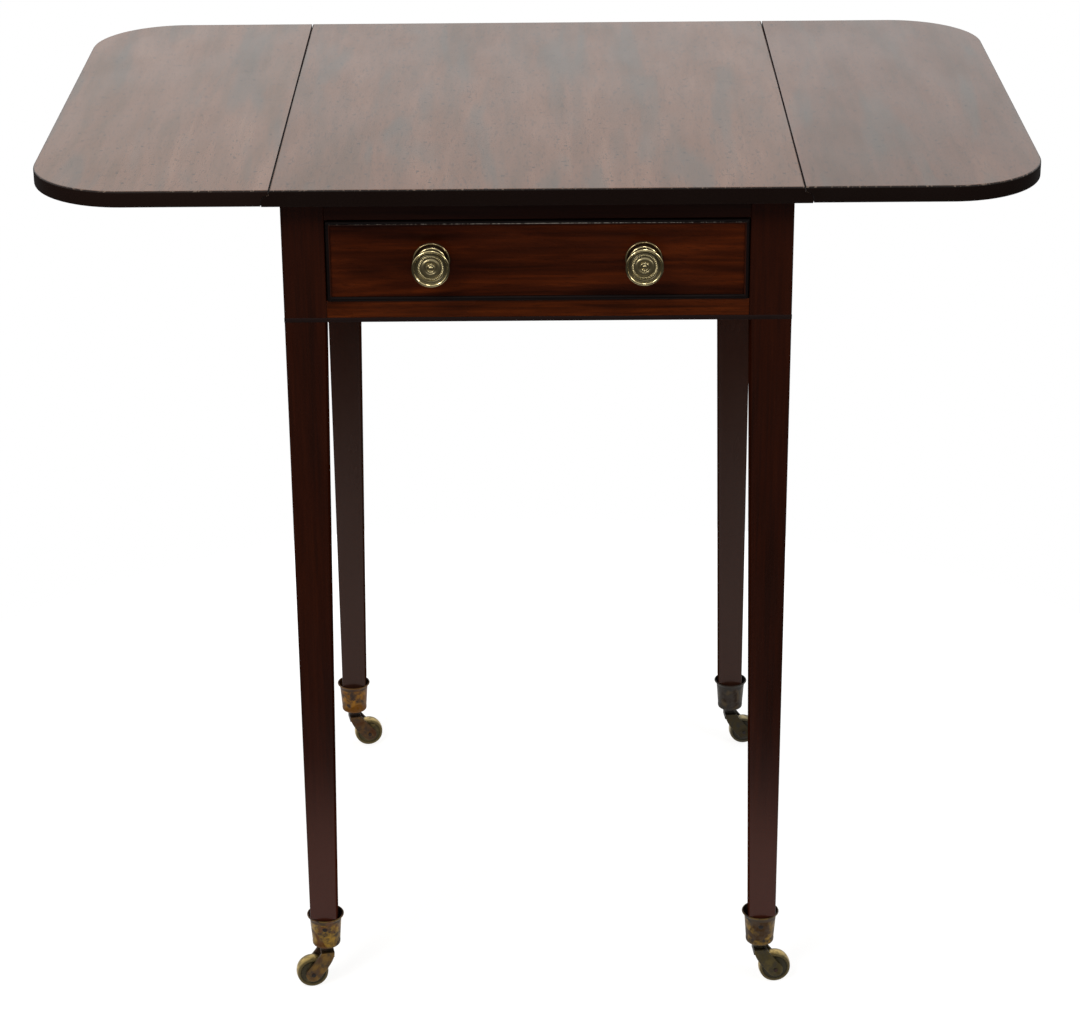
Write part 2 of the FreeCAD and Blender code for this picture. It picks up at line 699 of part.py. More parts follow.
def leg_blank():
    """Front right leg: square beside the frieze, tapered inside below it, its foot turned for the cup."""
    body = doc.addObject("PartDesign::Body", "leg_taper")

    def square(name, width, level):
        return outline(body, name, "XY_Plane", [
            (f"{SIDE_FACE} - {width}", f"-{END_FACE}"),
            (SIDE_FACE, f"-{END_FACE}"),
            (SIDE_FACE, f"-{END_FACE} + {width}"),
            (f"{SIDE_FACE} - {width}", f"-{END_FACE} + {width}"),
        ], level)
    pad = body.newObject("PartDesign::Pad", "leg_square")
    pad.Profile = square("leg_square_outline", "leg_width", FRAME_BASE)
    bind(pad, Length="frame_height")
    loft = body.newObject("PartDesign::AdditiveLoft", "leg_taper_loft")
    loft.Profile = square("leg_shoulder_outline", "leg_width", FRAME_BASE)
    loft.Sections = [square("leg_foot_outline", "leg_foot_width", f"{CUP_BASE} + cup_floor")]
    loft.Ruled = True
    body.Tip = loft
    wide = "(leg_foot_width * 2)"
    envelope = turned("leg_foot_turning", [
        ("spindle_head_diameter / 2 + swivel_gap", f"{CUP_BASE} + cup_floor"),
        ("cup_foot_diameter / 2 - cup_wall - spigot_clearance", f"{CUP_BASE} + cup_floor"),
        ("cup_top_diameter / 2 - cup_wall - spigot_clearance", "cup_rim_height - cup_flare_height"),
        ("cup_rim_diameter / 2 - cup_wall - spigot_clearance", "cup_rim_height"),
        (wide, f"cup_rim_height + foot_paring_slope * {wide}"),
        (wide, "table_height"),
        ("0", "table_height"),
        ("0", f"{CUP_BASE} + cup_floor + spindle_head_height + 2 * swivel_gap"),
        ("spindle_head_diameter / 2 + swivel_gap",
         f"{CUP_BASE} + cup_floor + spindle_head_height + 2 * swivel_gap"),
    ])
    place(envelope, LEG_AXIS_X, f"-{LEG_AXIS_Y}")
    return common("leg_shaped", body, envelope)


def build_frame(stringing, dummy_cuts):
    """Legs, rails, runners and kickers."""
    front_corner, back_corner, front_line, back_line = stringing
    rail_top = (OPENING_TOP, UNDERSIDE)
    socket = f"(-{END_FACE} + leg_width / 2)"
    tip = f"({LEG_INSIDE_X} + dovetail_length)"
    front_rail_inside = f"-{LEG_INSIDE_Y}"
    top_rail = keep(padded("front_top_rail", "XY_Plane", [
        (f"-{LEG_INSIDE_X}", f"-{END_FACE}"),
        (LEG_INSIDE_X, f"-{END_FACE}"),
        (LEG_INSIDE_X, f"{socket} - dovetail_root_width / 2"),
        (tip, f"{socket} - dovetail_tip_width / 2"),
        (tip, f"{socket} + dovetail_tip_width / 2"),
        (LEG_INSIDE_X, f"{socket} + dovetail_root_width / 2"),
        (LEG_INSIDE_X, front_rail_inside),
        (f"-{LEG_INSIDE_X}", front_rail_inside),
        (f"-{LEG_INSIDE_X}", f"{socket} + dovetail_root_width / 2"),
        (f"-{tip}", f"{socket} + dovetail_tip_width / 2"),
        (f"-{tip}", f"{socket} - dovetail_tip_width / 2"),
        (f"-{LEG_INSIDE_X}", f"{socket} - dovetail_root_width / 2"),
    ], "top_rail_height", offset=OPENING_TOP), "front_top_rail")

    tenons = f"({LEG_INSIDE_X} + tenon_length)"
    lower_tenon = f"({FRAME_BASE} + (lower_rail_height - lower_tenon_height) / 2)"
    lower_rail = fuse(
        "lower_rail_blank",
        block("lower_rail_bar", (f"-{LEG_INSIDE_X}", LEG_INSIDE_X), (f"-{END_FACE}", front_rail_inside),
              (FRAME_BASE, OPENING_BASE)),
        block("lower_rail_tenons", (f"-{tenons}", tenons),
              (f"-{END_FACE} + tenon_inset", f"-{END_FACE} + tenon_inset + tenon_thickness"),
              (lower_tenon, f"{lower_tenon} + lower_tenon_height")))
    lower_rail = keep(cut("front_lower_rail", lower_rail, front_line), "front_lower_rail")

    tenon_top = f"({OPENING_TOP} - tenon_inset)"
    back_rail = fuse(
        "back_rail_blank",
        block("back_rail_bar", (f"-{LEG_INSIDE_X}", LEG_INSIDE_X),
              (f"{END_FACE} - back_rail_thickness", END_FACE), (FRAME_BASE, UNDERSIDE)),
        block("back_rail_tenons", (f"-{tenons}", tenons),
              (f"{END_FACE} - tenon_inset - tenon_thickness", f"{END_FACE} - tenon_inset"),
              (f"{tenon_top} - side_tenon_height", tenon_top)))
    back_rail = keep(cut("back_rail", back_rail, back_line, *dummy_cuts), "back_rail")

    rail_middle = f"(({RAIL_INSIDE} + {FLY_INSIDE}) / 2)"
    side_tenons = f"({LEG_INSIDE_Y} + tenon_length)"
    side_rail = keep(fuse(
        "right_side_rail",
        block("side_rail_board", (RAIL_INSIDE, FLY_INSIDE), (f"-{LEG_INSIDE_Y}", LEG_INSIDE_Y),
              (FRAME_BASE, UNDERSIDE)),
        block("side_rail_tenons",
              (f"{rail_middle} - tenon_thickness / 2", f"{rail_middle} + tenon_thickness / 2"),
              (f"-{side_tenons}", side_tenons), (f"{tenon_top} - side_tenon_height", tenon_top))),
        "right_side_rail")
    keep(mirror("left_side_rail", side_rail, ACROSS), "left_side_rail")

    blank = leg_blank()
    front_leg = keep(cut("front_right_leg", blank, side_rail, top_rail, lower_rail, front_corner),
                     "front_right_leg")
    back_leg = keep(cut("back_right_leg", mirror("back_leg_blank", blank, ENDWAYS), side_rail, back_rail,
                        back_corner), "back_right_leg")
    keep(mirror("front_left_leg", front_leg, ACROSS), "front_left_leg")
    keep(mirror("back_left_leg", back_leg, ACROSS), "back_left_leg")

    shelf = (f"{RAIL_INSIDE} - runner_width", RAIL_INSIDE)
    along = (f"-{LEG_INSIDE_Y}", LEG_INSIDE_Y)
    runner = keep(block("right_drawer_runner", shelf, along, (FRAME_BASE, OPENING_BASE)),
                  "right_drawer_runner")
    keep(mirror("left_drawer_runner", runner, ACROSS), "left_drawer_runner")
    screws, holes = zip(*[screw(f"top_screw_{number}", f"{RAIL_INSIDE} - runner_width / 2",
                                f"{number - 2} * top_screw_spacing", OPENING_TOP, "top_screw_length")
                          for number in (1, 2, 3)])
    kicker = keep(cut("right_drawer_kicker", block("kicker_bar", shelf, along, rail_top), *holes),
                  "right_drawer_kicker")
    keep(mirror("left_drawer_kicker", kicker, ACROSS), "left_drawer_kicker")
    right_screws = group("top_screws_right", *screws)
    keep(group("top_screws", right_screws, mirror("top_screws_left", right_screws, ACROSS)), "top_screws")
    right_holes = fuse("top_screw_holes_right", *holes)
    return right_holes, mirror("top_screw_holes_left", right_holes, ACROSS)


def build_brackets():
    """Fly rails outside the side rails: fixed pieces and the bracket that swings on a wooden knuckle."""
    axis_x = f"({SIDE_FACE} - bracket_thickness / 2)"
    axis_y = "bracket_axis_setback"
    knuckle = "(bracket_thickness / 2)"
    shoulder = f"({knuckle} + bracket_back_gap)"
    top = f"({UNDERSIDE} - bracket_top_gap)"
    root = f"({axis_y} - bracket_root)"
    cove_end = f"({root} - bracket_cove_radius)"
    nose = f"({axis_y} - bracket_length)"
    cove_top = f"({FRAME_BASE} + bracket_cove_radius)"
    nose_top = f"({cove_top} + bracket_nose_radius)"
    full = "(bracket_thickness + bracket_back_gap)"
    blade = padded("bracket_blade", "YZ_Plane", [
        (axis_y, FRAME_BASE),
        (root, FRAME_BASE),
        (cove_end, cove_top, "bracket_cove_radius", "left"),
        (f"{nose} + bracket_nose_radius", cove_top),
        (nose, nose_top, "bracket_nose_radius", "right"),
        (nose, top),
        (axis_y, top),
    ], "bracket_thickness", offset=axis_x, both_ways=True)
    rounding = (axis_x, axis_y, FRAME_BASE)
    step = "(frame_height / 5)"
    levels = [f"({FRAME_BASE} + {step} * {number})" for number in range(6)]
    edge = "wood_knuckle_gap / 2"

    def slot(name, number, near_y, far_y):
        """Room for one finger of the other piece."""
        low = f"{levels[number]} - {edge}" if number else f"{FRAME_BASE} - overrun"
        high = f"{levels[number + 1]} + {edge}" if number < 4 else f"{UNDERSIDE} + overrun"
        return block(f"{name}_slot_{number}", (f"{FLY_INSIDE} - overrun", f"{SIDE_FACE} + overrun"),
                     (near_y, far_y), (low, high))

    bracket_bore = rod("bracket_bore", (axis_x, axis_y, f"{FRAME_BASE} - overrun"),
                       "frame_height + 2 * overrun",
                       "bracket_pin_diameter / 2 + bracket_pin_clearance", "Z")
    bracket = keep(cut(
        "right_fly_bracket",
        fuse("bracket_blank", blade,
             rod("bracket_round", rounding, "frame_height - bracket_top_gap", knuckle, "Z")),
        *[slot("bracket", number, f"{axis_y} - {shoulder}", f"{axis_y} + {knuckle} + overrun")
          for number in (0, 2, 4)],
        bracket_bore), "right_fly_bracket")
    keep(mirror("left_fly_bracket", bracket, ACROSS), "left_fly_bracket")

    rear = keep(cut(
        "right_fly_rail_rear",
        fuse("fly_rear_blank",
             block("fly_rear_board", (FLY_INSIDE, SIDE_FACE), (f"{axis_y} + {shoulder}", LEG_INSIDE_Y),
                   (FRAME_BASE, UNDERSIDE)),
             block("fly_rear_fingers", (f"{axis_x} - {knuckle}", SIDE_FACE),
                   (axis_y, f"{axis_y} + {shoulder}"), (FRAME_BASE, UNDERSIDE)),
             rod("fly_rear_round", rounding, "frame_height", knuckle, "Z")),
        *[slot("fly_rear", number, f"{axis_y} - {knuckle} - overrun", f"{axis_y} + {shoulder}")
          for number in (1, 3)],
        bracket_bore), "right_fly_rail_rear")
    keep(mirror("left_fly_rail_rear", rear, ACROSS), "left_fly_rail_rear")

    front = keep(padded("right_fly_rail_front", "YZ_Plane", [
        (f"-{LEG_INSIDE_Y}", FRAME_BASE),
        (f"{root} - bracket_edge_gap", FRAME_BASE),
        (cove_end, f"{cove_top} - bracket_edge_gap", "bracket_cove_radius - bracket_edge_gap", "left"),
        (f"{nose} + bracket_nose_radius", f"{cove_top} - bracket_edge_gap"),
        (f"{nose} - bracket_edge_gap", nose_top, "bracket_nose_radius + bracket_edge_gap", "right"),
        (f"{nose} - bracket_edge_gap", UNDERSIDE),
        (f"-{LEG_INSIDE_Y}", UNDERSIDE),
    ], full, offset=f"{SIDE_FACE} - {full} / 2", both_ways=True), "right_fly_rail_front")
    keep(mirror("left_fly_rail_front", front, ACROSS), "left_fly_rail_front")

    pin = rod("bracket_pin", (axis_x, axis_y, FRAME_BASE), "frame_height - bracket_top_gap",
              "bracket_pin_diameter / 2", "Z")
    keep(group("fly_bracket_pins", pin, mirror("bracket_pin_left", pin, ACROSS)), "fly_bracket_pins")


def build_casters():
    """Cup on each leg, and the horn, axle and wheel that turn under it."""
    spindle = "(spindle_diameter / 2)"
    cup = turned("cup", [
        (f"{spindle} + spindle_clearance", CUP_BASE),
        ("cup_foot_diameter / 2 - cup_foot_rounding", CUP_BASE),
        ("cup_foot_diameter / 2", f"{CUP_BASE} + cup_foot_rounding", "cup_foot_rounding", "left"),
        ("cup_top_diameter / 2", "cup_rim_height - cup_flare_height"),
        ("cup_rim_diameter / 2", "cup_rim_height - cup_lip"),
        ("cup_rim_diameter / 2", "cup_rim_height"),
        ("cup_rim_diameter / 2 - cup_wall", "cup_rim_height"),
        ("cup_top_diameter / 2 - cup_wall", "cup_rim_height - cup_flare_height"),
        ("cup_foot_diameter / 2 - cup_wall", f"{CUP_BASE} + cup_floor"),
        (f"{spindle} + spindle_clearance", f"{CUP_BASE} + cup_floor"),
    ])
    axle_level = "(wheel_diameter / 2)"
    neck_top = f"({CUP_BASE} - swivel_gap)"
    neck_base = f"({neck_top} - horn_neck_height)"
    neck = "(horn_neck_diameter / 2)"
    back_top, front_top = (f"-{neck}", neck_base), (neck, neck_base)
    back_end, front_end = (f"caster_trail {sign} horn_boss_radius" for sign in "-+")
    cheeks = padded("horn_cheeks", "XZ_Plane", [
        back_top,
        (back_end, axle_level, bowed(back_top, (back_end, axle_level), "horn_back_bow"), "left"),
        ("caster_trail", f"{axle_level} - horn_boss_radius", "horn_boss_radius", "left"),
        (front_end, axle_level, "horn_boss_radius", "left"),
        (*front_top, bowed((front_end, axle_level), front_top, "horn_front_bow"), "right"),
    ], "fork_width", both_ways=True)
    flange = turned("horn_neck", [
        ("0", neck_base),
        (neck, neck_base),
        (neck, neck_top),
        (spindle, neck_top),
        (spindle, f"{CUP_BASE} + cup_floor + swivel_gap / 2"),
        ("spindle_head_diameter / 2", f"{CUP_BASE} + cup_floor + swivel_gap / 2"),
        ("spindle_head_diameter / 2", f"{CUP_BASE} + cup_floor + swivel_gap / 2 + spindle_head_height"),
        ("0", f"{CUP_BASE} + cup_floor + swivel_gap / 2 + spindle_head_height"),
    ])
    inside = "(wheel_width + 2 * wheel_gap)"
    horn = cut("horn", fuse("horn_blank", cheeks, flange),
               rod("wheel_room", ("caster_trail", f"-{inside} / 2", axle_level), inside,
                   f"{axle_level} + wheel_gap", "Y"),
               rod("horn_bore", ("caster_trail", "-fork_width", axle_level), "2 * fork_width",
                   "axle_diameter / 2 + axle_clearance", "Y"))
    axle = rod("axle", ("caster_trail", "-(fork_width / 2 + axle_overhang)", axle_level),
               "fork_width + 2 * axle_overhang", "axle_diameter / 2", "Y")
    half = "(wheel_width / 2)"
    hub = "(wheel_hub_diameter / 2)"
    rim = f"({axle_level} - wheel_crown - wheel_rim_width)"
    tread = f"({axle_level} - wheel_crown)"
    bore = "(axle_diameter / 2 + axle_clearance)"
    wheel = turned("wheel", [
        (bore, f"-{half}"),
        (hub, f"-{half}"),
        (hub, f"-{half} + wheel_web_sink"),
        (rim, f"-{half} + wheel_web_sink"),
        (rim, f"-{half}"),
        (tread, f"-{half}"),
        (tread, half, bowed((tread, f"-{half}"), (tread, half), "wheel_crown"), "left"),
        (rim, half),
        (rim, f"{half} - wheel_web_sink"),
        (hub, f"{half} - wheel_web_sink"),
        (hub, half),
        (bore, half),
    ])
    place(wheel, "caster_trail", "0", axle_level, turn=(Vector(1, 0, 0), 90))
    cups = []
    for corner, x, y in (("front_left", f"-{LEG_AXIS_X}", f"-{LEG_AXIS_Y}"),
                         ("front_right", LEG_AXIS_X, f"-{LEG_AXIS_Y}"),
                         ("back_left", f"-{LEG_AXIS_X}", LEG_AXIS_Y),
                         ("back_right", LEG_AXIS_X, LEG_AXIS_Y)):
        cups.append(place(group(f"{corner}_cup", cup), x, y))
        for label, source in (("horn", horn), ("axle", axle), ("wheel", wheel)):
            placed = place(group(f"{corner}_caster_{label}", source), x, y)
            placed.setExpression("Placement.Rotation.Angle", bound(f"heading_{corner}"))
            keep(placed, f"{corner}_caster_{label}")
    keep(group("caster_cups", *cups), "caster_cups")


def write_pieces():
    """Check every object, then write one file for each piece."""
    doc.recompute()
    for thing in doc.Objects:
        if {"Invalid", "Error"} & set(thing.State):
            raise RuntimeError(f"{thing.Label} failed to build: {thing.State}")
    for piece in pieces:
        if piece.Shape.isNull() or not piece.Shape.isValid() or not piece.Shape.Solids:
            raise RuntimeError(f"{piece.Label} has no valid solid")
    os.makedirs("parts", exist_ok=True)
    for piece in pieces:
        piece.Shape.exportStep(f"parts/{piece.Label}.step")
        print(f"{piece.Label}: {len(piece.Shape.Solids)} solids, {piece.Shape.Volume / 1000:.2f} cm3")
    print(f"{len(pieces)} pieces")


top_board = build_top()
cock_bead = build_bead()
KNOB_PARTS = ("knobs", "roses", "nuts", "holes")
knob_fittings = [pair_of(name, thing) for name, thing in zip(KNOB_PARTS, build_knob())]
build_drawer(cock_bead, knob_fittings)
back_cuts = build_dummy(cock_bead, knob_fittings)
screw_holes = build_frame(build_stringing(), back_cuts)
keep(cut("fixed_top", top_board, *screw_holes), "fixed_top")
build_brackets()
build_casters()
write_pieces()
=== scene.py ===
"""Finished look of a small mahogany pembroke table on brass casters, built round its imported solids.

Sizes are in millimetres unless a name says otherwise, and become metres when a mesh is made.
"""

import json
import logging
import math
from dataclasses import dataclass, field
from enum import Enum
from typing import Any, ClassVar, Sequence

import bmesh
import bpy
import numpy as np
from mathutils import Matrix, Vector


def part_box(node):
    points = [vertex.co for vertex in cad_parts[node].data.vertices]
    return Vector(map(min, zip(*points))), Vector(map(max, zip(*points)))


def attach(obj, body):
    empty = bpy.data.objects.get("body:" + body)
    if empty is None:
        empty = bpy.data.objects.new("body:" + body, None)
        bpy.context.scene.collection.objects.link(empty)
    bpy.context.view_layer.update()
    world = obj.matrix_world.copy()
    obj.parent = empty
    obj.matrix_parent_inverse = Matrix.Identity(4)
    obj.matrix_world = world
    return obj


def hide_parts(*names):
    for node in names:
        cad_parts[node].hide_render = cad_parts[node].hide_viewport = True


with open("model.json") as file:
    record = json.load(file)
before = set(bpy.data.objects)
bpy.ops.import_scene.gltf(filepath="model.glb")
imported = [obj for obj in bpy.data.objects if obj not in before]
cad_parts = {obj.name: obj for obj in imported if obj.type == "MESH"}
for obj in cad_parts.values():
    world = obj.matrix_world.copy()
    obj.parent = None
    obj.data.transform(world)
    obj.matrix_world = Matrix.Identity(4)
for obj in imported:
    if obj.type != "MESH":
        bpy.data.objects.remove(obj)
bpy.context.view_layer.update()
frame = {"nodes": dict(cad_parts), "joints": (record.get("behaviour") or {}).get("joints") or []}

METRES = 0.001
CORNERS = ("front_left", "front_right", "back_left", "back_right")
SIDES = ("left", "right")
SHELL_MERGE_METRES, SLIVER_METRES, CAD_MERGE_METRES = 2e-6, 1e-7, 1e-6
SMOOTH_DEGREES, CAD_SMOOTH_DEGREES, FLAT_DEGREES, ARRIS_DEGREES = 40.0, 30.0, 0.3, 50.0
log = logging.getLogger("pembroke_table")


def linear(colour: str) -> tuple[float, float, float, float]:
    """Turn an sRGB hex colour into linear light.

    Args:
        colour: Six hex digits after a hash.

    Returns:
        Red, green, blue and a full alpha.
    """
    levels = np.array([int(colour[place:place + 2], 16) for place in (1, 3, 5)]) / 255
    light = np.where(levels <= 0.04045, levels / 12.92, ((levels + 0.055) / 1.055) ** 2.4)
    return (*(float(level) for level in light), 1.0)


def node(tree: bpy.types.NodeTree, kind: str, inputs: dict[Any, Any] | None = None, **settings: Any) -> bpy.types.Node:
    """Add a node to a tree.

    Args:
        tree: Tree that gets the node.
        kind: Blender's name for the node.
        inputs: Value or output socket for each input, by name or number.
        **settings: Properties of the node.

    Returns:
        The new node.
    """
    made = tree.nodes.new(kind)
    for name, value in settings.items():
        setattr(made, name, value)
    for key, value in (inputs or {}).items():
        if isinstance(value, bpy.types.NodeSocket):
            tree.links.new(value, made.inputs[key])
        else:
            made.inputs[key].default_value = value
    return made


def box_of(name: str) -> tuple[np.ndarray, np.ndarray]:
    """Lowest and highest corner of a CAD node, in millimetres."""
    low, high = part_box(name)
    return np.array(low) / METRES, np.array(high) / METRES


class Grain(Enum):
    """Direction in which a piece's wood grain runs."""

    ALONG_X = 0
    ALONG_Y = 1
    ALONG_Z = 2


class Ease(Enum):
    """How a colour comes in between two levels, by Blender's name for it."""

    SOFT = "SMOOTHSTEP"
    EVEN = "LINEAR"


@dataclass
class Shell:
    """Surface of a piece as grids of points, put together as one mesh."""

    points: list[np.ndarray] = field(default_factory=list)
    faces: list[Sequence[int]] = field(default_factory=list)
    grime_and_shade: list[np.ndarray] = field(default_factory=list)
    count: int = 0

    def add_grid(self, grid: np.ndarray, round_rows: bool = False, round_columns: bool = False,
                 caps: bool = False, grime_and_shade: np.ndarray | None = None) -> None:
        """Add a grid of points with a quad in each cell.

        Args:
            grid: Points, rows by columns by three.
            round_rows: Whether the last row joins the first.
            round_columns: Whether the last column joins the first.
            caps: Whether the first and the last row are filled with a flat face.
            grime_and_shade: How dark each point is, from 0 to 1, rows by columns: tarnish and soiling, and on the
                casters painted shade as well.
        """
        rows, columns = grid.shape[:2]
        numbers = np.arange(rows * columns).reshape(rows, columns) + self.count
        loop = np.concatenate([numbers, numbers[:1]]) if round_rows else numbers
        loop = np.concatenate([loop, loop[:, :1]], axis=1) if round_columns else loop
        quads = np.stack([loop[:-1, :-1], loop[:-1, 1:], loop[1:, 1:], loop[1:, :-1]], axis=-1)
        self.points.append(grid.reshape(-1, 3))
        darkening = np.zeros((1, 1)) if grime_and_shade is None else grime_and_shade
        self.grime_and_shade.append(np.broadcast_to(darkening, (rows, columns)).ravel())
        self.faces.extend(quads.reshape(-1, 4).tolist())
        if caps:
            self.faces.extend([numbers[0, ::-1].tolist(), numbers[-1].tolist()])
        self.count += rows * columns

    def mesh(self, name: str) -> bpy.types.Mesh:
        """Make the mesh, with doubles merged, faces turned outward and soft edges smooth.

        Args:
            name: Name of the mesh.

        Returns:
            The mesh, in metres.
        """
        made = bpy.data.meshes.new(name)
        made.from_pydata((np.concatenate(self.points) * METRES).tolist(), [], self.faces)
        layer = made.attributes.new("grime_and_shade", "FLOAT", "POINT")
        layer.data.foreach_set("value", np.concatenate(self.grime_and_shade).astype(np.float32))
        work = bmesh.new()
        work.from_mesh(made)
        bmesh.ops.remove_doubles(work, verts=work.verts, dist=SHELL_MERGE_METRES)
        bmesh.ops.dissolve_degenerate(work, edges=work.edges, dist=SLIVER_METRES)
        bmesh.ops.recalc_face_normals(work, faces=work.faces)
        work.to_mesh(made)
        work.free()
        soften(made, SMOOTH_DEGREES)
        return made


def soften(mesh: bpy.types.Mesh, smooth_angle: float) -> None:
    """Shade a mesh smooth and keep its edges above an angle in degrees sharp."""
    mesh.shade_smooth()
    mesh.set_sharp_from_angle(angle=math.radians(smooth_angle))


def arc(centre: Sequence[float], size: Sequence[float], start: float, end: float, count: int) -> np.ndarray:
    """Part of an ellipse: centre + (width * cos a, height * sin a), with the angle a from start to end.

    Args:
        centre: Middle of the ellipse.
        size: Half its width and half its height.
        start: First angle, in half turns.
        end: Last angle, in half turns.
        count: Number of points.

    Returns:
        Points, count by two.
    """
    angles = np.linspace(start, end, count) * math.pi
    return np.asarray(centre) + np.stack([size[0] * np.cos(angles), size[1] * np.sin(angles)], axis=1)


def placed(axes: Sequence[np.ndarray], place: Sequence[float]) -> Matrix:
    """Matrix of an object that is turned and put in place.

    Args:
        axes: Directions of the object's own x, y and z.
        place: Where it stands.

    Returns:
        The matrix, in metres.
    """
    turned = np.eye(4)
    turned[:3, :3] = np.stack(axes, axis=1)
    turned[:3, 3] = np.array(place) * METRES
    return Matrix(turned.tolist())


def revolved(profile: np.ndarray, centre: np.ndarray, axis: np.ndarray, steps: int,
             ripple: np.ndarray | None = None, ripples: int = 0) -> np.ndarray:
    """Turn a profile round an axis.

    A point at radius r and height h goes to centre + h * axis + r * (cos a * e1 + sin a * e2),
    with e1 and e2 square to the axis, and h grows by ripple * cos(ripples * a).

    Args:
        profile: Radius and height of each point.
        centre: Point of the axis at height nought.
        axis: Direction of the axis, of any length.
        steps: Points round the axis.
        ripple: How much each profile point rises and falls round the axis.
        ripples: How many times it does so.

    Returns:
        Points, profile by steps by three.
    """
    along = axis / np.linalg.norm(axis)
    helper = np.array([0.0, 0.0, 1.0]) if abs(along[2]) < 0.9 else np.array([1.0, 0.0, 0.0])
    first = np.cross(along, helper)
    first /= np.linalg.norm(first)
    second = np.cross(along, first)
    angles = np.linspace(0, 2 * math.pi, steps, endpoint=False)
    ring = np.cos(angles)[:, None] * first + np.sin(angles)[:, None] * second
    height = profile[:, 1, None] + np.zeros((1, steps))
    if ripple is not None:
        height = height + ripple[:, None] * np.cos(ripples * angles)[None]
    return centre + height[..., None] * along + profile[:, 0, None, None] * ring[None]


def rounded_block(low: Sequence[float], high: Sequence[float], radius: float, steps: int = 3) -> np.ndarray:
    """Block with rounded arrises: a ball's surface with its eight octants moved apart.

    A point with normal n in an octant with signs s lies at middle + s * (half - radius) + radius * n.

    Args:
        low: Lowest corner.
        high: Highest corner.
        radius: Radius of the arrises.
        steps: Faces across a quarter round.

    Returns:
        Points, latitude by longitude by three, with open ends that flat caps fill.
    """
    low, high = np.asarray(low, float), np.asarray(high, float)
    quarter = np.linspace(0, math.pi / 2, steps + 1)
    longitude = (quarter[None] + np.arange(4)[:, None] * math.pi / 2).ravel()
    latitude = np.concatenate([quarter - math.pi / 2, quarter])
    sign_x = np.repeat([1, -1, -1, 1], steps + 1)
    sign_y = np.repeat([1, 1, -1, -1], steps + 1)
    sign_z = np.repeat([-1, 1], steps + 1)
    normal = np.stack([np.cos(latitude)[:, None] * np.cos(longitude)[None],
                       np.cos(latitude)[:, None] * np.sin(longitude)[None],
                       np.sin(latitude)[:, None] + 0 * longitude[None]], axis=-1)
    signs = np.stack(np.broadcast_arrays(sign_x[None], sign_y[None], sign_z[:, None]), axis=-1)
    return (low + high) / 2 + signs * ((high - low) / 2 - radius) + radius * normal


def show(name: str, mesh: bpy.types.Mesh, material: bpy.types.Material, body: str,
         replaced: Sequence[str]) -> bpy.types.Object:
    """Put a finished piece into the scene in place of CAD nodes.

    Args:
        name: Name of the piece.
        mesh: Its mesh, in place.
        material: Its finish.
        body: CAD body that it moves with.
        replaced: CAD nodes that it stands for.

    Returns:
        The new object.
    """
    piece = bpy.data.objects.new(name, mesh)
    bpy.context.scene.collection.objects.link(piece)
    mesh.materials.clear()
    mesh.materials.append(material)
    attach(piece, body)
    if replaced:
        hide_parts(*replaced)
    log.info("%s: %d faces on %s", name, len(mesh.polygons), body)
    return piece


def dress_node(name: str, material: bpy.types.Material) -> None:
    """Give a CAD node that stays its finish.

    Args:
        name: CAD node.
        material: Its finish.
    """
    piece = frame["nodes"][name]
    if not piece.material_slots:
        piece.data.materials.append(material)
    for place in piece.material_slots:
        place.link = "OBJECT"
        place.material = material
    log.info("%s: CAD node, %s", name, material.name)


def bevelled_copy(name: str, material: bpy.types.Material, body: str, arris: float) -> None:
    """Replace a joinery node by a copy of its mesh with softened arrises.

    Args:
        name: CAD node.
        material: Its finish.
        body: CAD body that it moves with.
        arris: Width of the softened arris.
    """
    mesh = frame["nodes"][name].data.copy()
    work = bmesh.new()
    work.from_mesh(mesh)
    bmesh.ops.remove_doubles(work, verts=work.verts, dist=CAD_MERGE_METRES)
    bmesh.ops.dissolve_limit(work, angle_limit=math.radians(FLAT_DEGREES), verts=work.verts,
                            edges=work.edges)
    work.to_mesh(mesh)
    work.free()
    soften(mesh, CAD_SMOOTH_DEGREES)
    piece = show(f"{name}_finished", mesh, material, body, [name])
    bevel = piece.modifiers.new("arris", "BEVEL")
    bevel.width = arris * METRES
    bevel.segments = 2
    bevel.limit_method = "ANGLE"
    bevel.angle_limit = math.radians(ARRIS_DEGREES)
    bevel.use_clamp_overlap = True


def blank(name: str) -> tuple[bpy.types.Material, bpy.types.NodeTree, bpy.types.Node]:
    """Make a material with nothing in its tree but the coordinates that its patterns read.

    Args:
        name: Name of the material.

    Returns:
        The material, its tree and its coordinates' node.
    """
    made = bpy.data.materials.new(name)
    made.use_nodes = True
    made.node_tree.nodes.clear()
    return made, made.node_tree, node(made.node_tree, "ShaderNodeTexCoord")


def laid(tree: bpy.types.NodeTree, value: bpy.types.NodeSocket, levels: tuple[float, float], under: Any, over: str,
         most: float = 1.0, ease: Ease = Ease.SOFT) -> bpy.types.NodeSocket:
    """Lay one colour over another where a value goes from one level to the next.

    Args:
        tree: Tree that gets the nodes.
        value: Value that decides where the upper colour shows.
        levels: Value at which the upper colour starts, and at which it shows most.
        under: Lower colour, as a socket or in linear light.
        over: Upper colour, as a hex value.
        most: Greatest share of the upper colour.
        ease: How the share goes from nought to most.

    Returns:
        The mixed colour.
    """
    share = node(tree, "ShaderNodeMapRange", {"Value": value, "From Min": levels[0], "From Max": levels[1],
                                              "To Max": most}, interpolation_type=ease.value)
    return node(tree, "ShaderNodeMix", {"Factor": share.outputs[0], 6: under, 7: linear(over)},
                data_type="RGBA").outputs[2]


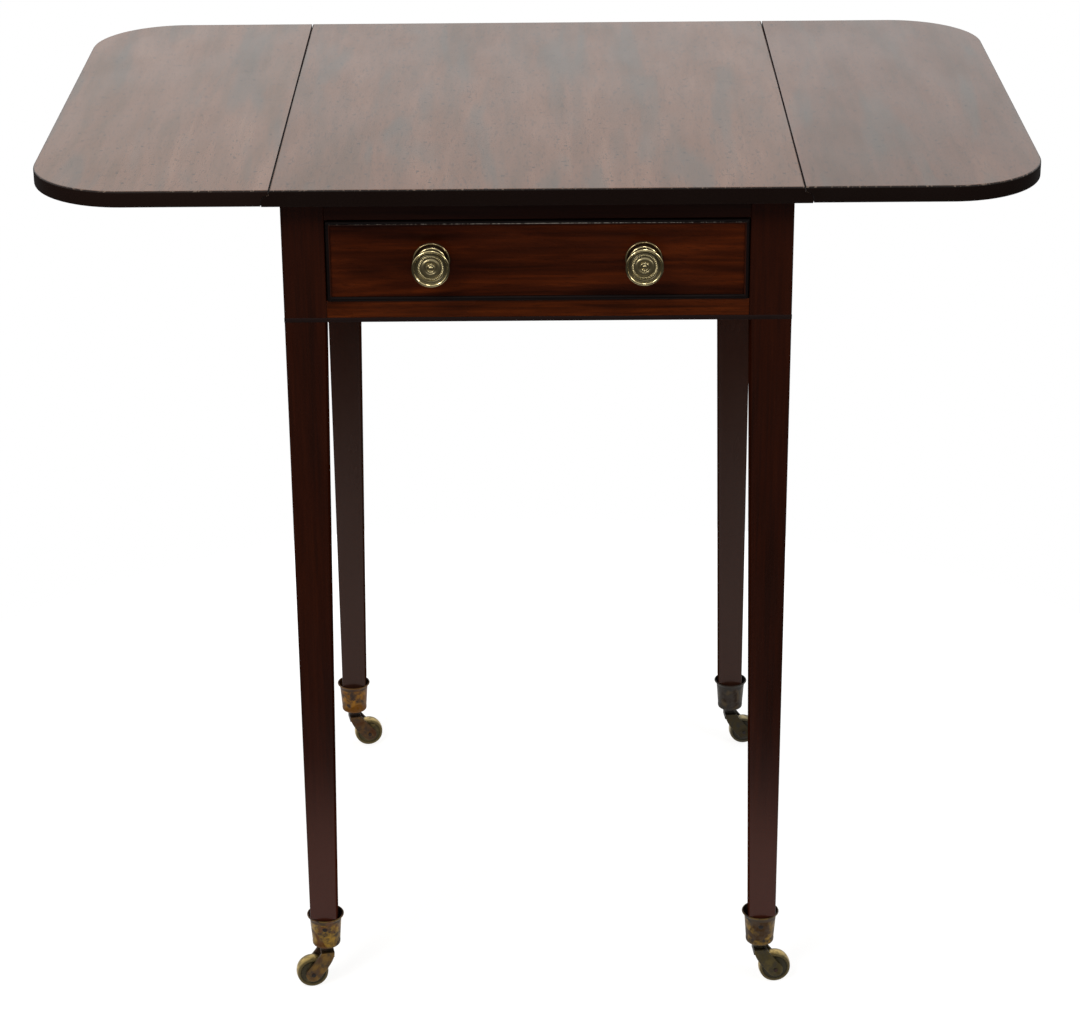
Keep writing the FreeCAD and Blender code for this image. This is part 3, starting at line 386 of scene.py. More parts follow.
@dataclass(frozen=True)
class Mahogany:
    """Cuban mahogany, planed and French polished: dark red wood under a clear shellac film.

    The wood shows as long soft bands with fine streaks and short dark pores along the grain, and the film
    adds a sharp but weak reflection. Side faces take the dark edge colour, partly as old polish darkened at
    the edges and partly as painted shade. A leg's foot colour is painted light from the bright floor, and a
    pale front arris is partly rubbed bare and partly a painted highlight. Sizes are a width across the grain
    and a length along it. Real pores are finer, and are drawn as coarse as they need to show. Levels are the
    values of a pattern or a normal between which a colour comes in.
    """

    name: str
    grain: Grain
    dark: str
    mid: str
    light: str
    edge: str
    band: tuple[float, float] = (22.0, 260.0)
    streak: tuple[float, float] = (2.2, 70.0)
    wave: float = 0.6
    figure: float = 0.5
    shift: float = 0.0
    mid_levels: tuple[float, float] = (0.32, 0.56)
    light_levels: tuple[float, float] = (0.5, 0.72)
    pore: str = ""
    pore_size: tuple[float, float] = (0.9, 9.0)
    pore_share: float = 0.3
    pore_levels: tuple[float, float] = (0.56, 0.7)
    pore_depth: float = 0.2
    relief: float = 0.03
    roughness: tuple[float, float] = (0.2, 0.26)
    gloss_size: tuple[float, float] = (30.0, 90.0)
    gloss_levels: tuple[float, float] = (0.3, 0.7)
    specular: float = 0.5
    cast: str = ""
    cast_size: tuple[float, float] = (34.0, 260.0)
    cast_share: float = 0.5
    cast_levels: tuple[float, float] = (0.5, 0.66)
    # Share of the edge colour on faces that do not face up, which is partly old darkened polish and partly painted
    # shade, and the shine of those faces.
    dark_sides: float = 0.0
    side_specular: float = 0.2
    side_levels: tuple[float, float] = (0.985, 0.8)
    shine_levels: tuple[float, float] = (0.55, 0.97)
    dull_inside: bool = False
    inside_levels: tuple[float, float] = (-0.12, -0.02)
    # Painted light: colour painted in towards the bottom of a leg for the bright floor's reflection and bounced light,
    # and the heights between which it comes in.
    foot: str = ""
    floor_glow_fade: tuple[float, float] = (235.0, 120.0)
    specks: float = 0.0
    speck_spacing: float = 34.0
    speck_radius: float = 1.3
    speck_softness: float = 0.3
    dashes: float = 0.0
    dash_size: tuple[float, float] = (12.0, 1.8)
    dash_levels: tuple[float, float] = (0.78, 0.81)
    # Pale front arris, partly rubbed bare and partly a painted highlight where the rounded arris faces up and forward.
    wear_and_highlight: float = 0.0
    pale_wear_and_highlight: str = "#8a7768"
    grit_size: tuple[float, float] = (3.0, 6.0)
    grit_levels: tuple[float, float] = (0.54, 0.66)
    upper_levels: tuple[float, float] = (0.2, 0.6)
    front_levels: tuple[float, float] = (-0.15, -0.4)
    raw: str = ""
    raw_roughness: float = 0.72
    under_levels: tuple[float, float] = (-0.6, -0.9)

    def pattern(self, tree: bpy.types.NodeTree, place: bpy.types.NodeSocket, size: tuple[float, float],
                detail: float, distortion: float = 0.0) -> bpy.types.NodeSocket:
        """Make noise that is drawn out along the grain.

        Args:
            tree: Tree that gets the nodes.
            place: Coordinates in metres.
            size: Size of the pattern across and along the grain.
            detail: How many finer layers the noise has.
            distortion: How much it is warped.

        Returns:
            The noise, from 0 to 1.
        """
        repeats = tuple(1 / (METRES * (size[1] if axis == self.grain.value else size[0])) for axis in range(3))
        stretched = node(tree, "ShaderNodeVectorMath", {0: place, 1: repeats}, operation="MULTIPLY")
        return node(tree, "ShaderNodeTexNoise", {"Vector": stretched.outputs[0], "Scale": 1.0, "Detail": detail,
                                                 "Distortion": distortion}).outputs["Fac"]

    def wood(self, tree: bpy.types.NodeTree, place: bpy.types.NodeSocket,
             pores: bpy.types.NodeSocket) -> bpy.types.NodeSocket:
        """Make the wood's own colour: bands and streaks, pores and a cool cast in the polish.

        Args:
            tree: Tree that gets the nodes.
            place: Coordinates in metres.
            pores: Noise of the pores.

        Returns:
            The colour.
        """
        bands = self.pattern(tree, place, self.band, detail=3.0, distortion=self.wave)
        streaks = self.pattern(tree, place, self.streak, detail=4.0, distortion=self.wave / 2)
        both = node(tree, "ShaderNodeMix", {"Factor": self.figure, 2: bands, 3: streaks}).outputs[0]
        colour = laid(tree, both, self.mid_levels, linear(self.dark), self.mid)
        colour = laid(tree, both, self.light_levels, colour, self.light)
        colour = laid(tree, pores, self.pore_levels, colour, self.pore or self.dark, self.pore_share)
        if self.cast:
            clouds = self.pattern(tree, place, self.cast_size, detail=3.0, distortion=0.4)
            colour = laid(tree, clouds, self.cast_levels, colour, self.cast, self.cast_share)
        return colour

    def aged(self, tree: bpy.types.NodeTree, place: bpy.types.NodeSocket, facing: bpy.types.Node,
             colour: bpy.types.NodeSocket) -> bpy.types.NodeSocket:
        """Lay marks over a colour: specks and short dashes across the grain from use, and a pale front arris that is
        partly rubbed bare and partly a painted highlight.

        Args:
            tree: Tree that gets the nodes.
            place: Coordinates in metres.
            facing: The surface's normal, split into its axes.
            colour: Colour of the wood.

        Returns:
            The colour with its marks.
        """
        if self.specks:
            spots = node(tree, "ShaderNodeTexVoronoi", {"Vector": place, "Scale": 1 / (self.speck_spacing * METRES),
                                                        "Randomness": 1.0}, voronoi_dimensions="2D")
            reach = self.speck_radius / self.speck_spacing
            levels = ((1 + self.speck_softness) * reach, (1 - self.speck_softness) * reach)
            colour = laid(tree, spots.outputs["Distance"], levels, colour, self.edge, self.specks)
        if self.dashes:
            marks = self.pattern(tree, place, self.dash_size, detail=0.0, distortion=0.3)
            colour = laid(tree, marks, self.dash_levels, colour, self.edge, self.dashes)
        # Painted highlight with rubbing: a pale colour on the front arris where it faces up and forward, broken by
        # grit.
        if self.wear_and_highlight:
            grit = self.pattern(tree, place, self.grit_size, detail=3.0)
            share: Any = self.wear_and_highlight
            for value, levels in ((facing.outputs["Z"], self.upper_levels), (facing.outputs["Y"], self.front_levels),
                                  (grit, self.grit_levels)):
                level = node(tree, "ShaderNodeMapRange", {"Value": value, "From Min": levels[0],
                                                          "From Max": levels[1]}, interpolation_type=Ease.SOFT.value)
                share = node(tree, "ShaderNodeMath", {0: share, 1: level.outputs[0]},
                             operation="MULTIPLY").outputs[0]
            colour = node(tree, "ShaderNodeMix", {"Factor": share, 6: colour, 7: linear(self.pale_wear_and_highlight)},
                          data_type="RGBA").outputs[2]
        return colour

    def material(self) -> bpy.types.Material:
        """Make the material.

        Returns:
            A material that reads Object coordinates and the object's own normal.
        """
        made, tree, where = blank(self.name)
        place = node(tree, "ShaderNodeMapping", {"Vector": where.outputs["Object"],
                                                 "Location": (self.shift * METRES,) * 3}).outputs["Vector"]
        facing = node(tree, "ShaderNodeSeparateXYZ", {"Vector": where.outputs["Normal"]})
        spot = node(tree, "ShaderNodeSeparateXYZ", {"Vector": where.outputs["Object"]})
        pores = self.pattern(tree, place, self.pore_size, detail=2.0)
        colour = self.wood(tree, place, pores)
        shine: bpy.types.Node | None = None
        # Painted shade with old polish: faces that do not face up take the dark edge colour, and shine less.
        if self.dark_sides:
            colour = laid(tree, facing.outputs["Z"], self.side_levels, colour, self.edge, self.dark_sides)
            shine = node(tree, "ShaderNodeMapRange", {
                "Value": facing.outputs["Z"], "From Min": self.shine_levels[0], "From Max": self.shine_levels[1],
                "To Min": self.side_specular, "To Max": self.specular}, interpolation_type=Ease.SOFT.value)
        if self.dull_inside:
            inward = node(tree, "ShaderNodeMath", {0: spot.outputs["X"], 1: facing.outputs["X"]},
                          operation="MULTIPLY")
            shine = node(tree, "ShaderNodeMapRange", {
                "Value": inward.outputs[0], "From Min": self.inside_levels[0], "From Max": self.inside_levels[1],
                "To Min": 0.0, "To Max": self.specular}, interpolation_type=Ease.SOFT.value)
        # Painted light: the foot colour comes in towards the bottom, standing in for the bright floor's reflection and
        # bounce on a leg.
        if self.foot:
            fade = (self.floor_glow_fade[0] * METRES, self.floor_glow_fade[1] * METRES)
            colour = laid(tree, spot.outputs["Z"], fade, colour, self.foot)
        colour = self.aged(tree, place, facing, colour)
        gloss = node(tree, "ShaderNodeMapRange", {
            "Value": self.pattern(tree, place, self.gloss_size, detail=3.0), "From Min": self.gloss_levels[0],
            "From Max": self.gloss_levels[1], "To Min": self.roughness[0], "To Max": self.roughness[1]},
            interpolation_type=Ease.SOFT.value).outputs[0]
        if self.raw:
            below = node(tree, "ShaderNodeMapRange", {
                "Value": facing.outputs["Z"], "From Min": self.under_levels[0], "From Max": self.under_levels[1]},
                interpolation_type=Ease.SOFT.value).outputs[0]
            colour = node(tree, "ShaderNodeMix", {"Factor": below, 6: colour, 7: linear(self.raw)},
                          data_type="RGBA").outputs[2]
            gloss = node(tree, "ShaderNodeMix", {"Factor": below, 2: gloss, 3: self.raw_roughness}).outputs[0]
        relief = node(tree, "ShaderNodeBump", {"Height": pores, "Strength": self.relief,
                                               "Distance": self.pore_depth * METRES})
        shader = node(tree, "ShaderNodeBsdfPrincipled", {
            "Base Color": colour, "Roughness": gloss, "Normal": relief.outputs["Normal"], "IOR": 1.5,
            "Specular IOR Level": self.specular})
        # The value stays on the socket under its link, for an export that can not follow the nodes.
        if shine is not None:
            tree.links.new(shine.outputs[0], shader.inputs["Specular IOR Level"])
        node(tree, "ShaderNodeOutputMaterial", {"Surface": shader.outputs[0]})
        return made


@dataclass(frozen=True)
class EbonisedWood:
    """Pearwood stained black and rubbed: near black and satin, with pale specks where an arris has chipped.

    The piece's grime attribute is above nought where chips may lie, and below it where the stain is rubbed off.
    """

    name: str
    colour: str
    brown: str
    cloud: float = 20.0
    chips: float = 0.0
    chip: str = "#a59c92"
    chip_size: float = 1.5
    chip_levels: tuple[float, float] = (0.36, 0.48)
    rubbed: str = "#2c1006"
    rubbed_levels: tuple[float, float] = (-0.1, -0.7)
    roughness: tuple[float, float] = (0.4, 0.6)
    specular: float = 0.12

    def material(self) -> bpy.types.Material:
        """Make the material.

        Returns:
            A material that reads Object coordinates and the piece's grime attribute.
        """
        made, tree, where = blank(self.name)
        cloud = node(tree, "ShaderNodeTexNoise", {"Vector": where.outputs["Object"],
                                                  "Scale": 1 / (self.cloud * METRES), "Detail": 3.0})
        colour = node(tree, "ShaderNodeMix", {"Factor": cloud.outputs["Fac"], 6: linear(self.colour),
                                              7: linear(self.brown)}, data_type="RGBA").outputs[2]
        if self.chips:
            grime_and_shade = node(tree, "ShaderNodeAttribute", attribute_name="grime_and_shade")
            flakes = node(tree, "ShaderNodeTexNoise", {"Vector": where.outputs["Object"],
                                                       "Scale": 1 / (self.chip_size * METRES), "Detail": 2.0})
            level = node(tree, "ShaderNodeMath", {0: flakes.outputs["Fac"], 1: grime_and_shade.outputs["Fac"]},
                         operation="MULTIPLY")
            colour = laid(tree, grime_and_shade.outputs["Fac"], self.rubbed_levels, colour, self.rubbed, ease=Ease.EVEN)
            colour = laid(tree, level.outputs[0], self.chip_levels, colour, self.chip, self.chips, Ease.EVEN)
        gloss = node(tree, "ShaderNodeMapRange", {"Value": cloud.outputs["Fac"], "To Min": self.roughness[0],
                                                  "To Max": self.roughness[1]})
        shader = node(tree, "ShaderNodeBsdfPrincipled", {"Base Color": colour, "Roughness": gloss.outputs[0],
                                                         "IOR": 1.5, "Specular IOR Level": self.specular})
        node(tree, "ShaderNodeOutputMaterial", {"Surface": shader.outputs[0]})
        return made


@dataclass(frozen=True)
class Brass:
    """Cast brass, turned and left to tarnish: gold where fingers rub it, brown-green in hollows and blotches.

    The piece's grime attribute says how dark each point is, from 0 to 1: where soil and tarnish have gathered, and on
    the casters also where shade is painted.
    """

    name: str
    bright: str
    dull: str
    stain: str
    blotch: float = 6.0
    patch_ratio: float = 2.3
    tarnish: tuple[float, float] = (0.5, 0.85)
    staining: tuple[float, float] = (0.6, 0.75)
    roughness: tuple[float, float] = (0.12, 0.4)
    metal: tuple[float, float] = (1.0, 0.85)
    detail: float = 5.0
    relief: float = 0.12
    pit_depth: float = 0.2

    def material(self) -> bpy.types.Material:
        """Make the material.

        Returns:
            A material that reads Object coordinates and the piece's grime attribute.
        """
        made, tree, where = blank(self.name)
        grime_and_shade = node(tree, "ShaderNodeAttribute", attribute_name="grime_and_shade")
        cloud = node(tree, "ShaderNodeTexNoise", {
            "Vector": where.outputs["Object"], "Scale": 1 / (self.blotch * METRES), "Detail": self.detail,
            "Roughness": 0.62})
        patch = node(tree, "ShaderNodeTexNoise", {
            "Vector": where.outputs["Object"], "Scale": 1 / (self.patch_ratio * self.blotch * METRES), "Detail": 4.0,
            "Distortion": 0.8})
        dullness = node(tree, "ShaderNodeMapRange", {"Value": cloud.outputs["Fac"], "From Min": self.tarnish[0],
                                                     "From Max": self.tarnish[1]})
        darkening = node(tree, "ShaderNodeMath", {0: dullness.outputs[0], 1: grime_and_shade.outputs["Fac"]}, operation="MAXIMUM",
                    use_clamp=True)
        colour = node(tree, "ShaderNodeMix", {"Factor": darkening.outputs[0], 6: linear(self.bright),
                                              7: linear(self.dull)}, data_type="RGBA").outputs[2]
        colour = laid(tree, patch.outputs["Fac"], self.staining, colour, self.stain, ease=Ease.EVEN)
        rough = node(tree, "ShaderNodeMapRange", {"Value": darkening.outputs[0], "To Min": self.roughness[0],
                                                  "To Max": self.roughness[1]})
        metal = node(tree, "ShaderNodeMapRange", {"Value": darkening.outputs[0], "To Min": self.metal[0],
                                                  "To Max": self.metal[1]})
        relief = node(tree, "ShaderNodeBump", {"Height": cloud.outputs["Fac"], "Strength": self.relief,
                                               "Distance": self.pit_depth * METRES})
        shader = node(tree, "ShaderNodeBsdfPrincipled", {
            "Base Color": colour, "Roughness": rough.outputs[0], "Metallic": metal.outputs[0],
            "Normal": relief.outputs["Normal"]})
        node(tree, "ShaderNodeOutputMaterial", {"Surface": shader.outputs[0]})
        return made


@dataclass(frozen=True)
class BlackIron:
    """Wrought iron, filed and blackened: dark grey scale with brown rust in patches."""

    name: str
    colour: str = "#2b2725"
    rust: str = "#4a2c1c"
    patch: float = 7.0
    rust_levels: tuple[float, float] = (0.5, 0.7)
    roughness: tuple[float, float] = (0.35, 0.7)
    metal: float = 0.85

    def material(self) -> bpy.types.Material:
        """Make the material.

        Returns:
            A material that reads Object coordinates.
        """
        made, tree, where = blank(self.name)
        cloud = node(tree, "ShaderNodeTexNoise", {"Vector": where.outputs["Object"],
                                                  "Scale": 1 / (self.patch * METRES), "Detail": 5.0}).outputs["Fac"]
        colour = laid(tree, cloud, self.rust_levels, linear(self.colour), self.rust, ease=Ease.EVEN)
        rough = node(tree, "ShaderNodeMapRange", {"Value": cloud, "To Min": self.roughness[0],
                                                  "To Max": self.roughness[1]})
        shader = node(tree, "ShaderNodeBsdfPrincipled", {"Base Color": colour, "Roughness": rough.outputs[0],
                                                         "Metallic": self.metal})
        node(tree, "ShaderNodeOutputMaterial", {"Surface": shader.outputs[0]})
        return made


class Finishes:
    """All finishes of the table, made once. Wood colours are the dark, middle and light of the figure and the edge."""

    TOP: ClassVar[tuple[str, ...]] = ("#503827", "#60412f", "#6d4d3b", "#140b08")
    LEFT: ClassVar[tuple[str, ...]] = ("#573f2d", "#674938", "#745543", "#1b100c")
    RIGHT: ClassVar[tuple[str, ...]] = ("#483223", "#573a2b", "#634534", "#140c09")
    CASE: ClassVar[tuple[str, ...]] = ("#1f0a04", "#290d04", "#301105", "#0c0605")
    TOP_RAIL: ClassVar[tuple[str, ...]] = ("#1d0c07", "#250f08", "#2b130a", "#0c0605")
    FRONT: ClassVar[tuple[str, ...]] = ("#1b0702", "#341103", "#521f05", "#140805")
    LOWER_RAIL: ClassVar[tuple[str, ...]] = ("#2a0e03", "#431904", "#5e2706", "#140805")
    LINING: ClassVar[tuple[str, ...]] = ("#5d4128", "#7d5c3a", "#97744c", "#3a2818")
    CUPS: ClassVar[dict[str, tuple[str, str, str]]] = {
        "front_left": ("#8f6f30", "#271a0e", "#59391b"), "front_right": ("#866830", "#261b10", "#3d2b19"),
        "back_left": ("#8b5f26", "#2d1b0d", "#68400f"), "back_right": ("#4a3f31", "#1f1a15", "#2d241d")}
    HORNS: ClassVar[dict[str, tuple[str, str, str]]] = {
        "front_left": ("#6c522c", "#2b2116", "#4a3423"), "front_right": ("#4e442a", "#231e14", "#383019"),
        "back_left": ("#5c4226", "#261b15", "#462c1b"), "back_right": ("#383122", "#1f1b14", "#2b251a")}
    TREADS: ClassVar[dict[str, tuple[str, str, str]]] = {
        "front_left": ("#c2a662", "#2f2914", "#4f4322"), "front_right": ("#c2a768", "#29240f", "#3d361d"),
        "back_left": ("#cbb070", "#3d3417", "#5c4d25"), "back_right": ("#aa9a72", "#211d11", "#322c1b")}

    def __init__(self) -> None:
        """Make every material."""
        # Pores, specks and dashes of the boards are drawn coarser than real ones, so that they show from afar.
        board = {"band": (30.0, 320.0), "figure": 0.35, "streak": (6.0, 70.0), "wave": 0.7, "pore": "#2a1d16",
                 "pore_share": 0.55, "pore_size": (1.4, 9.0), "relief": 0.0, "wear_and_highlight": 0.4, "specks": 0.8,
                 "cast": "#3f403b", "dashes": 0.5, "raw": "#3a2116", "dark_sides": 1.0}
        waxed = {"specular": 0.22, "roughness": (0.22, 0.28)}
        figured = {"specular": 0.15, "roughness": (0.22, 0.3)}
        # The lining is oak with the same kind of bands and pores, left from the plane, so that it hardly shines.
        planed = {"specular": 0.25, "roughness": (0.5, 0.65)}
        along, across, up = Grain.ALONG_Y, Grain.ALONG_X, Grain.ALONG_Z
        self.fixed_top = Mahogany("polished_mahogany_fixed_top", along, *self.TOP, **board).material()
        self.left_leaf = Mahogany("polished_mahogany_left_leaf", along, *self.LEFT, shift=310.0, **board).material()
        self.right_leaf = Mahogany("polished_mahogany_right_leaf", along, *self.RIGHT, shift=-270.0,
                                   **board).material()
        # The legs' foot colour is painted light from the floor, and on the back legs it starts higher up.
        self.upright = Mahogany("waxed_mahogany_upright", up, *self.CASE, dull_inside=True, foot="#3c1b11",
                                **waxed).material()
        self.back_upright = Mahogany("waxed_mahogany_back_upright", up, *self.CASE, dull_inside=True, foot="#341d14",
                                     floor_glow_fade=(560.0, 330.0), **waxed).material()
        self.top_rail = Mahogany("waxed_mahogany_top_rail", across, *self.TOP_RAIL, specular=0.12,
                                 roughness=(0.3, 0.38)).material()
        self.sideways = Mahogany("waxed_mahogany_sideways", along, *self.CASE, **waxed).material()
        self.front = Mahogany("figured_mahogany_drawer_front", across, *self.FRONT, band=(17.0, 170.0),
                              streak=(3.2, 75.0), wave=1.0, figure=0.24, pore_share=0.4, **figured).material()
        self.lower_rail = Mahogany("figured_mahogany_lower_rail", across, *self.LOWER_RAIL, band=(9.0, 120.0),
                                   shift=90.0, pore_share=0.55, **figured).material()
        self.lining_x = Mahogany("planed_oak_lining_across", across, *self.LINING, **planed).material()
        self.lining_y = Mahogany("planed_oak_lining_lengthwise", along, *self.LINING, **planed).material()
        self.bead = EbonisedWood("stained_pearwood_bead", "#080505", "#130a08", chips=1.0).material()
        # The inlaid line's black is lifted a little above the bead's as a painted sheen.
        self.line = EbonisedWood("ebonised_pearwood_line", "#160d0c", "#201310").material()
        self.knob = Brass("tarnished_brass_knob", "#b8a97f", "#373224", "#7a6c48").material()
        self.rose = Brass("tarnished_brass_rose", "#a6946c", "#28190f", "#5b4526").material()
        self.cups = {corner: Brass(f"patinated_brass_{corner}_cup", *palette, blotch=6.5, tarnish=(0.4, 0.62),
                                   staining=(0.5, 0.6), roughness=(0.36, 0.56), metal=(0.95, 0.4),
                                   detail=3.0).material()
                     for corner, palette in self.CUPS.items()}
        self.horns = {corner: Brass(f"dull_brass_{corner}_horn", *palette, tarnish=(0.42, 0.68),
                                    staining=(0.52, 0.68), roughness=(0.38, 0.56), metal=(0.95, 0.5)).material()
                      for corner, palette in self.HORNS.items()}
        self.treads = {corner: Brass(f"rubbed_brass_{corner}_wheel", *palette, blotch=5.0, tarnish=(0.46, 0.72),
                                     staining=(0.56, 0.7), roughness=(0.3, 0.5), metal=(1.0, 0.5)).material()
                       for corner, palette in self.TREADS.items()}
        self.iron = BlackIron("blackened_iron").material()


@dataclass
class TopBoards:
    """Fixed top and two leaves, with their rule joints and let-in hinges."""

    arris: float = 0.6

    def build(self, finish: Finishes) -> None:
        """Show the boards with softened arrises and dress the hinges.

        Args:
            finish: Materials of the table.
        """
        bevelled_copy("fixed_top", finish.fixed_top, "frame", self.arris)
        bevelled_copy("left_leaf", finish.left_leaf, "left_leaf", self.arris)
        bevelled_copy("right_leaf", finish.right_leaf, "right_leaf", self.arris)
        hinges = ["hinge_fixed_flaps", "hinge_pins", "hinge_fixed_screws", "top_screws"]
        hinges += [f"{side}_hinge_leaf_{part}" for side in SIDES for part in ("flaps", "screws")]
        for name in hinges:
            dress_node(name, finish.iron)


@dataclass
class Legs:
    """Four square legs that taper on their inner faces and end round in the caster cups.

    Below the joint with the rails the shown legs have slim widths, a little less than those of the solids.
    """

    top_width: float = 33.0
    foot_width: float = 24.0
    slim_top: float = 31.3
    slim_foot: float = 22.2
    taper_top: float = 600.0
    rim_gap: float = 1.6
    bell_gap: float = 1.8
    flare: float = 5.0
    paring_slope: float = 0.3
    arris: float = 0.9
    arris_steps: int = 4
    flat_steps: int = 10
    spigot_base: float = 6.5
    rim_steps: tuple[float, ...] = (-1.0, 0.0, 0.6, 1.2, 1.8, 2.4, 3.0, 3.6, 4.4, 6.0)
    taper_start: float = 20.0
    taper_rows: int = 12
    joint_step: float = 1.0
    joint_rows: int = 4
    top_chamfer: float = 0.6
    top_arris: float = 0.27

    def section(self) -> np.ndarray:
        """Rounded square of half width one, as signs of its corners and normals of its arrises.

        A corner's normals turn evenly through a quarter, and the points of a flat lie evenly between two corners.

        Returns:
            Corner sign x and y and normal x and y of each point round the section.
        """
        quarter = np.linspace(0, math.pi / 2, self.arris_steps + 1)
        angles = (quarter[None] + np.arange(4)[:, None] * math.pi / 2).ravel()
        signs = np.repeat([[1, 1], [-1, 1], [-1, -1], [1, -1]], self.arris_steps + 1, axis=0)
        corners = np.concatenate([signs, np.cos(angles)[:, None], np.sin(angles)[:, None]], axis=1).reshape(4, -1, 4)
        share = np.linspace(0, 1, self.flat_steps + 1)[None, 1:-1, None]
        flats = (1 - share) * corners[:, -1:] + share * np.roll(corners, -1, axis=0)[:, :1]
        return np.concatenate([corners, flats], axis=1).reshape(-1, 4)

    def surface(self, outward: np.ndarray, outer: np.ndarray, top: float) -> np.ndarray:
        """Section carried up the leg.

        At height z the width w goes straight from the foot's to the taper's top, and is full above it. The
        outer faces stay plumb, but a back leg's side face stands in by what w is less than the joint's width.
        Below the cup's rim all points are drawn in to a round spigot that follows the cup's inside.

        Args:
            outward: Signs of the leg's outer corner.
            outer: Place of the outer corner.
            top: Height of the leg's top.

        Returns:
            Points, height by section by three.
        """
        cup = Cup.measured()
        base, rim = cup.base, cup.base + cup.height
        joint = np.linspace(self.taper_top + self.joint_step, top - self.top_chamfer, self.joint_rows)
        heights = np.concatenate([[base + self.spigot_base, rim - self.flare], rim + np.array(self.rim_steps),
                                  np.linspace(rim + self.taper_start, self.taper_top, self.taper_rows), joint, [top]])
        share = np.clip((heights - rim) / (self.taper_top - rim), 0, 1)
        full = self.foot_width + share * (self.top_width - self.foot_width)
        slim = self.slim_foot + share * (self.slim_top - self.slim_foot)
        width = np.where(heights > self.taper_top, full, slim)
        radius = np.where(heights >= top, self.top_arris, self.arris)
        section = self.section()
        spread, rounding = (width / 2 - radius)[:, None, None], radius[:, None, None]
        reach = spread * section[None, :, :2] + rounding * section[None, :, 2:]
        axis = outer[None] - outward[None] * width[:, None] / 2
        if outward[1] > 0:
            axis[:, 0] -= outward[0] * (full - width)
        foot_axis = outer - outward * self.foot_width / 2
        points = axis[:, None] + reach
        limit = np.interp(heights, [base, rim - self.flare, rim, rim + self.paring_slope * self.top_width],
                          [cup.foot_radius - self.bell_gap, cup.body_radius - self.bell_gap,
                           cup.rim_radius - self.rim_gap, cup.rim_radius - self.rim_gap + self.top_width])
        offset = points - foot_axis
        distance = np.linalg.norm(offset, axis=-1)
        drawn = foot_axis + offset * np.minimum(1, limit[:, None] / distance)[..., None]
        return np.concatenate([drawn, np.broadcast_to(heights[:, None, None], (*distance.shape, 1))], axis=-1)

    def build(self, finish: Finishes) -> None:
        """Show the four legs.

        Args:
            finish: Materials of the table.
        """
        for corner in CORNERS:
            low, high = box_of(f"{corner}_leg")
            outward = np.array([1.0 if "right" in corner else -1.0, 1.0 if "back" in corner else -1.0])
            outer = np.where(outward > 0, high[:2], low[:2])
            shell = Shell()
            shell.add_grid(self.surface(outward, outer, high[2]), round_columns=True, caps=True)
            # The back legs have their own painted floor light.
            wood = finish.back_upright if "back" in corner else finish.upright
            show(f"{corner}_tapered_leg", shell.mesh(f"{corner}_leg"), wood, "frame",
                 [f"{corner}_leg"])


@dataclass
class Case:
    """Rails, swinging brackets and stringing between the legs."""

    arris: float = 0.4
    line_proud: float = 0.15
    line_depth: float = 1.0
    line_radius: float = 0.25

    def build(self, finish: Finishes) -> None:
        """Show the rails and brackets with softened arrises, and the dark line below the frieze.

        Args:
            finish: Materials of the table.
        """
        bevelled_copy("front_top_rail", finish.top_rail, "frame", self.arris)
        bevelled_copy("front_lower_rail", finish.lower_rail, "frame", self.arris)
        bevelled_copy("back_rail", finish.front, "frame", self.arris)
        for side in SIDES:
            bevelled_copy(f"{side}_fly_rail_front", finish.sideways, "frame", self.arris)
            bevelled_copy(f"{side}_fly_rail_rear", finish.sideways, "frame", self.arris)
            bevelled_copy(f"{side}_fly_bracket", finish.sideways, f"{side}_bracket", self.arris)
            dress_node(f"{side}_side_rail", finish.lining_y)
            dress_node(f"{side}_drawer_runner", finish.lining_y)
            dress_node(f"{side}_drawer_kicker", finish.lining_y)
        dress_node("fly_bracket_pins", finish.iron)
        self.build_line(finish)

    def build_line(self, finish: Finishes) -> None:
        """Show the inlaid line as strips that stand a hair proud of the legs and rails.

        Each leg has one strip along its end face and one along its side face, and each end rail has one.

        Args:
            finish: Materials of the table.
        """
        low, high = box_of("frame_stringing")
        leg_low, leg_high = box_of("front_left_leg")
        width = leg_high[0] - leg_low[0]
        strips = []
        for signs in np.array([[-1, -1], [-1, 1], [1, -1], [1, 1]]):
            face = np.where(signs > 0, high[:2], low[:2])
            outside, inside = face + signs * self.line_proud, face - signs * width
            sunk = face - signs * self.line_depth
            strips += [((inside[0], sunk[1]), outside), ((sunk[0], inside[1]), outside)]
        inner = high[0] - width
        for sign, face in ((-1, low[1]), (1, high[1])):
            strips.append(((-inner, face - sign * self.line_depth), (inner, face + sign * self.line_proud)))
        shell = Shell()
        for strip in strips:
            first, last = np.sort(np.array(strip), axis=0)
            shell.add_grid(rounded_block((*first, low[2]), (*last, high[2]), self.line_radius), round_columns=True,
                           caps=True)
        show("frieze_line", shell.mesh("frieze_line"), finish.line, "frame", ["frame_stringing"])


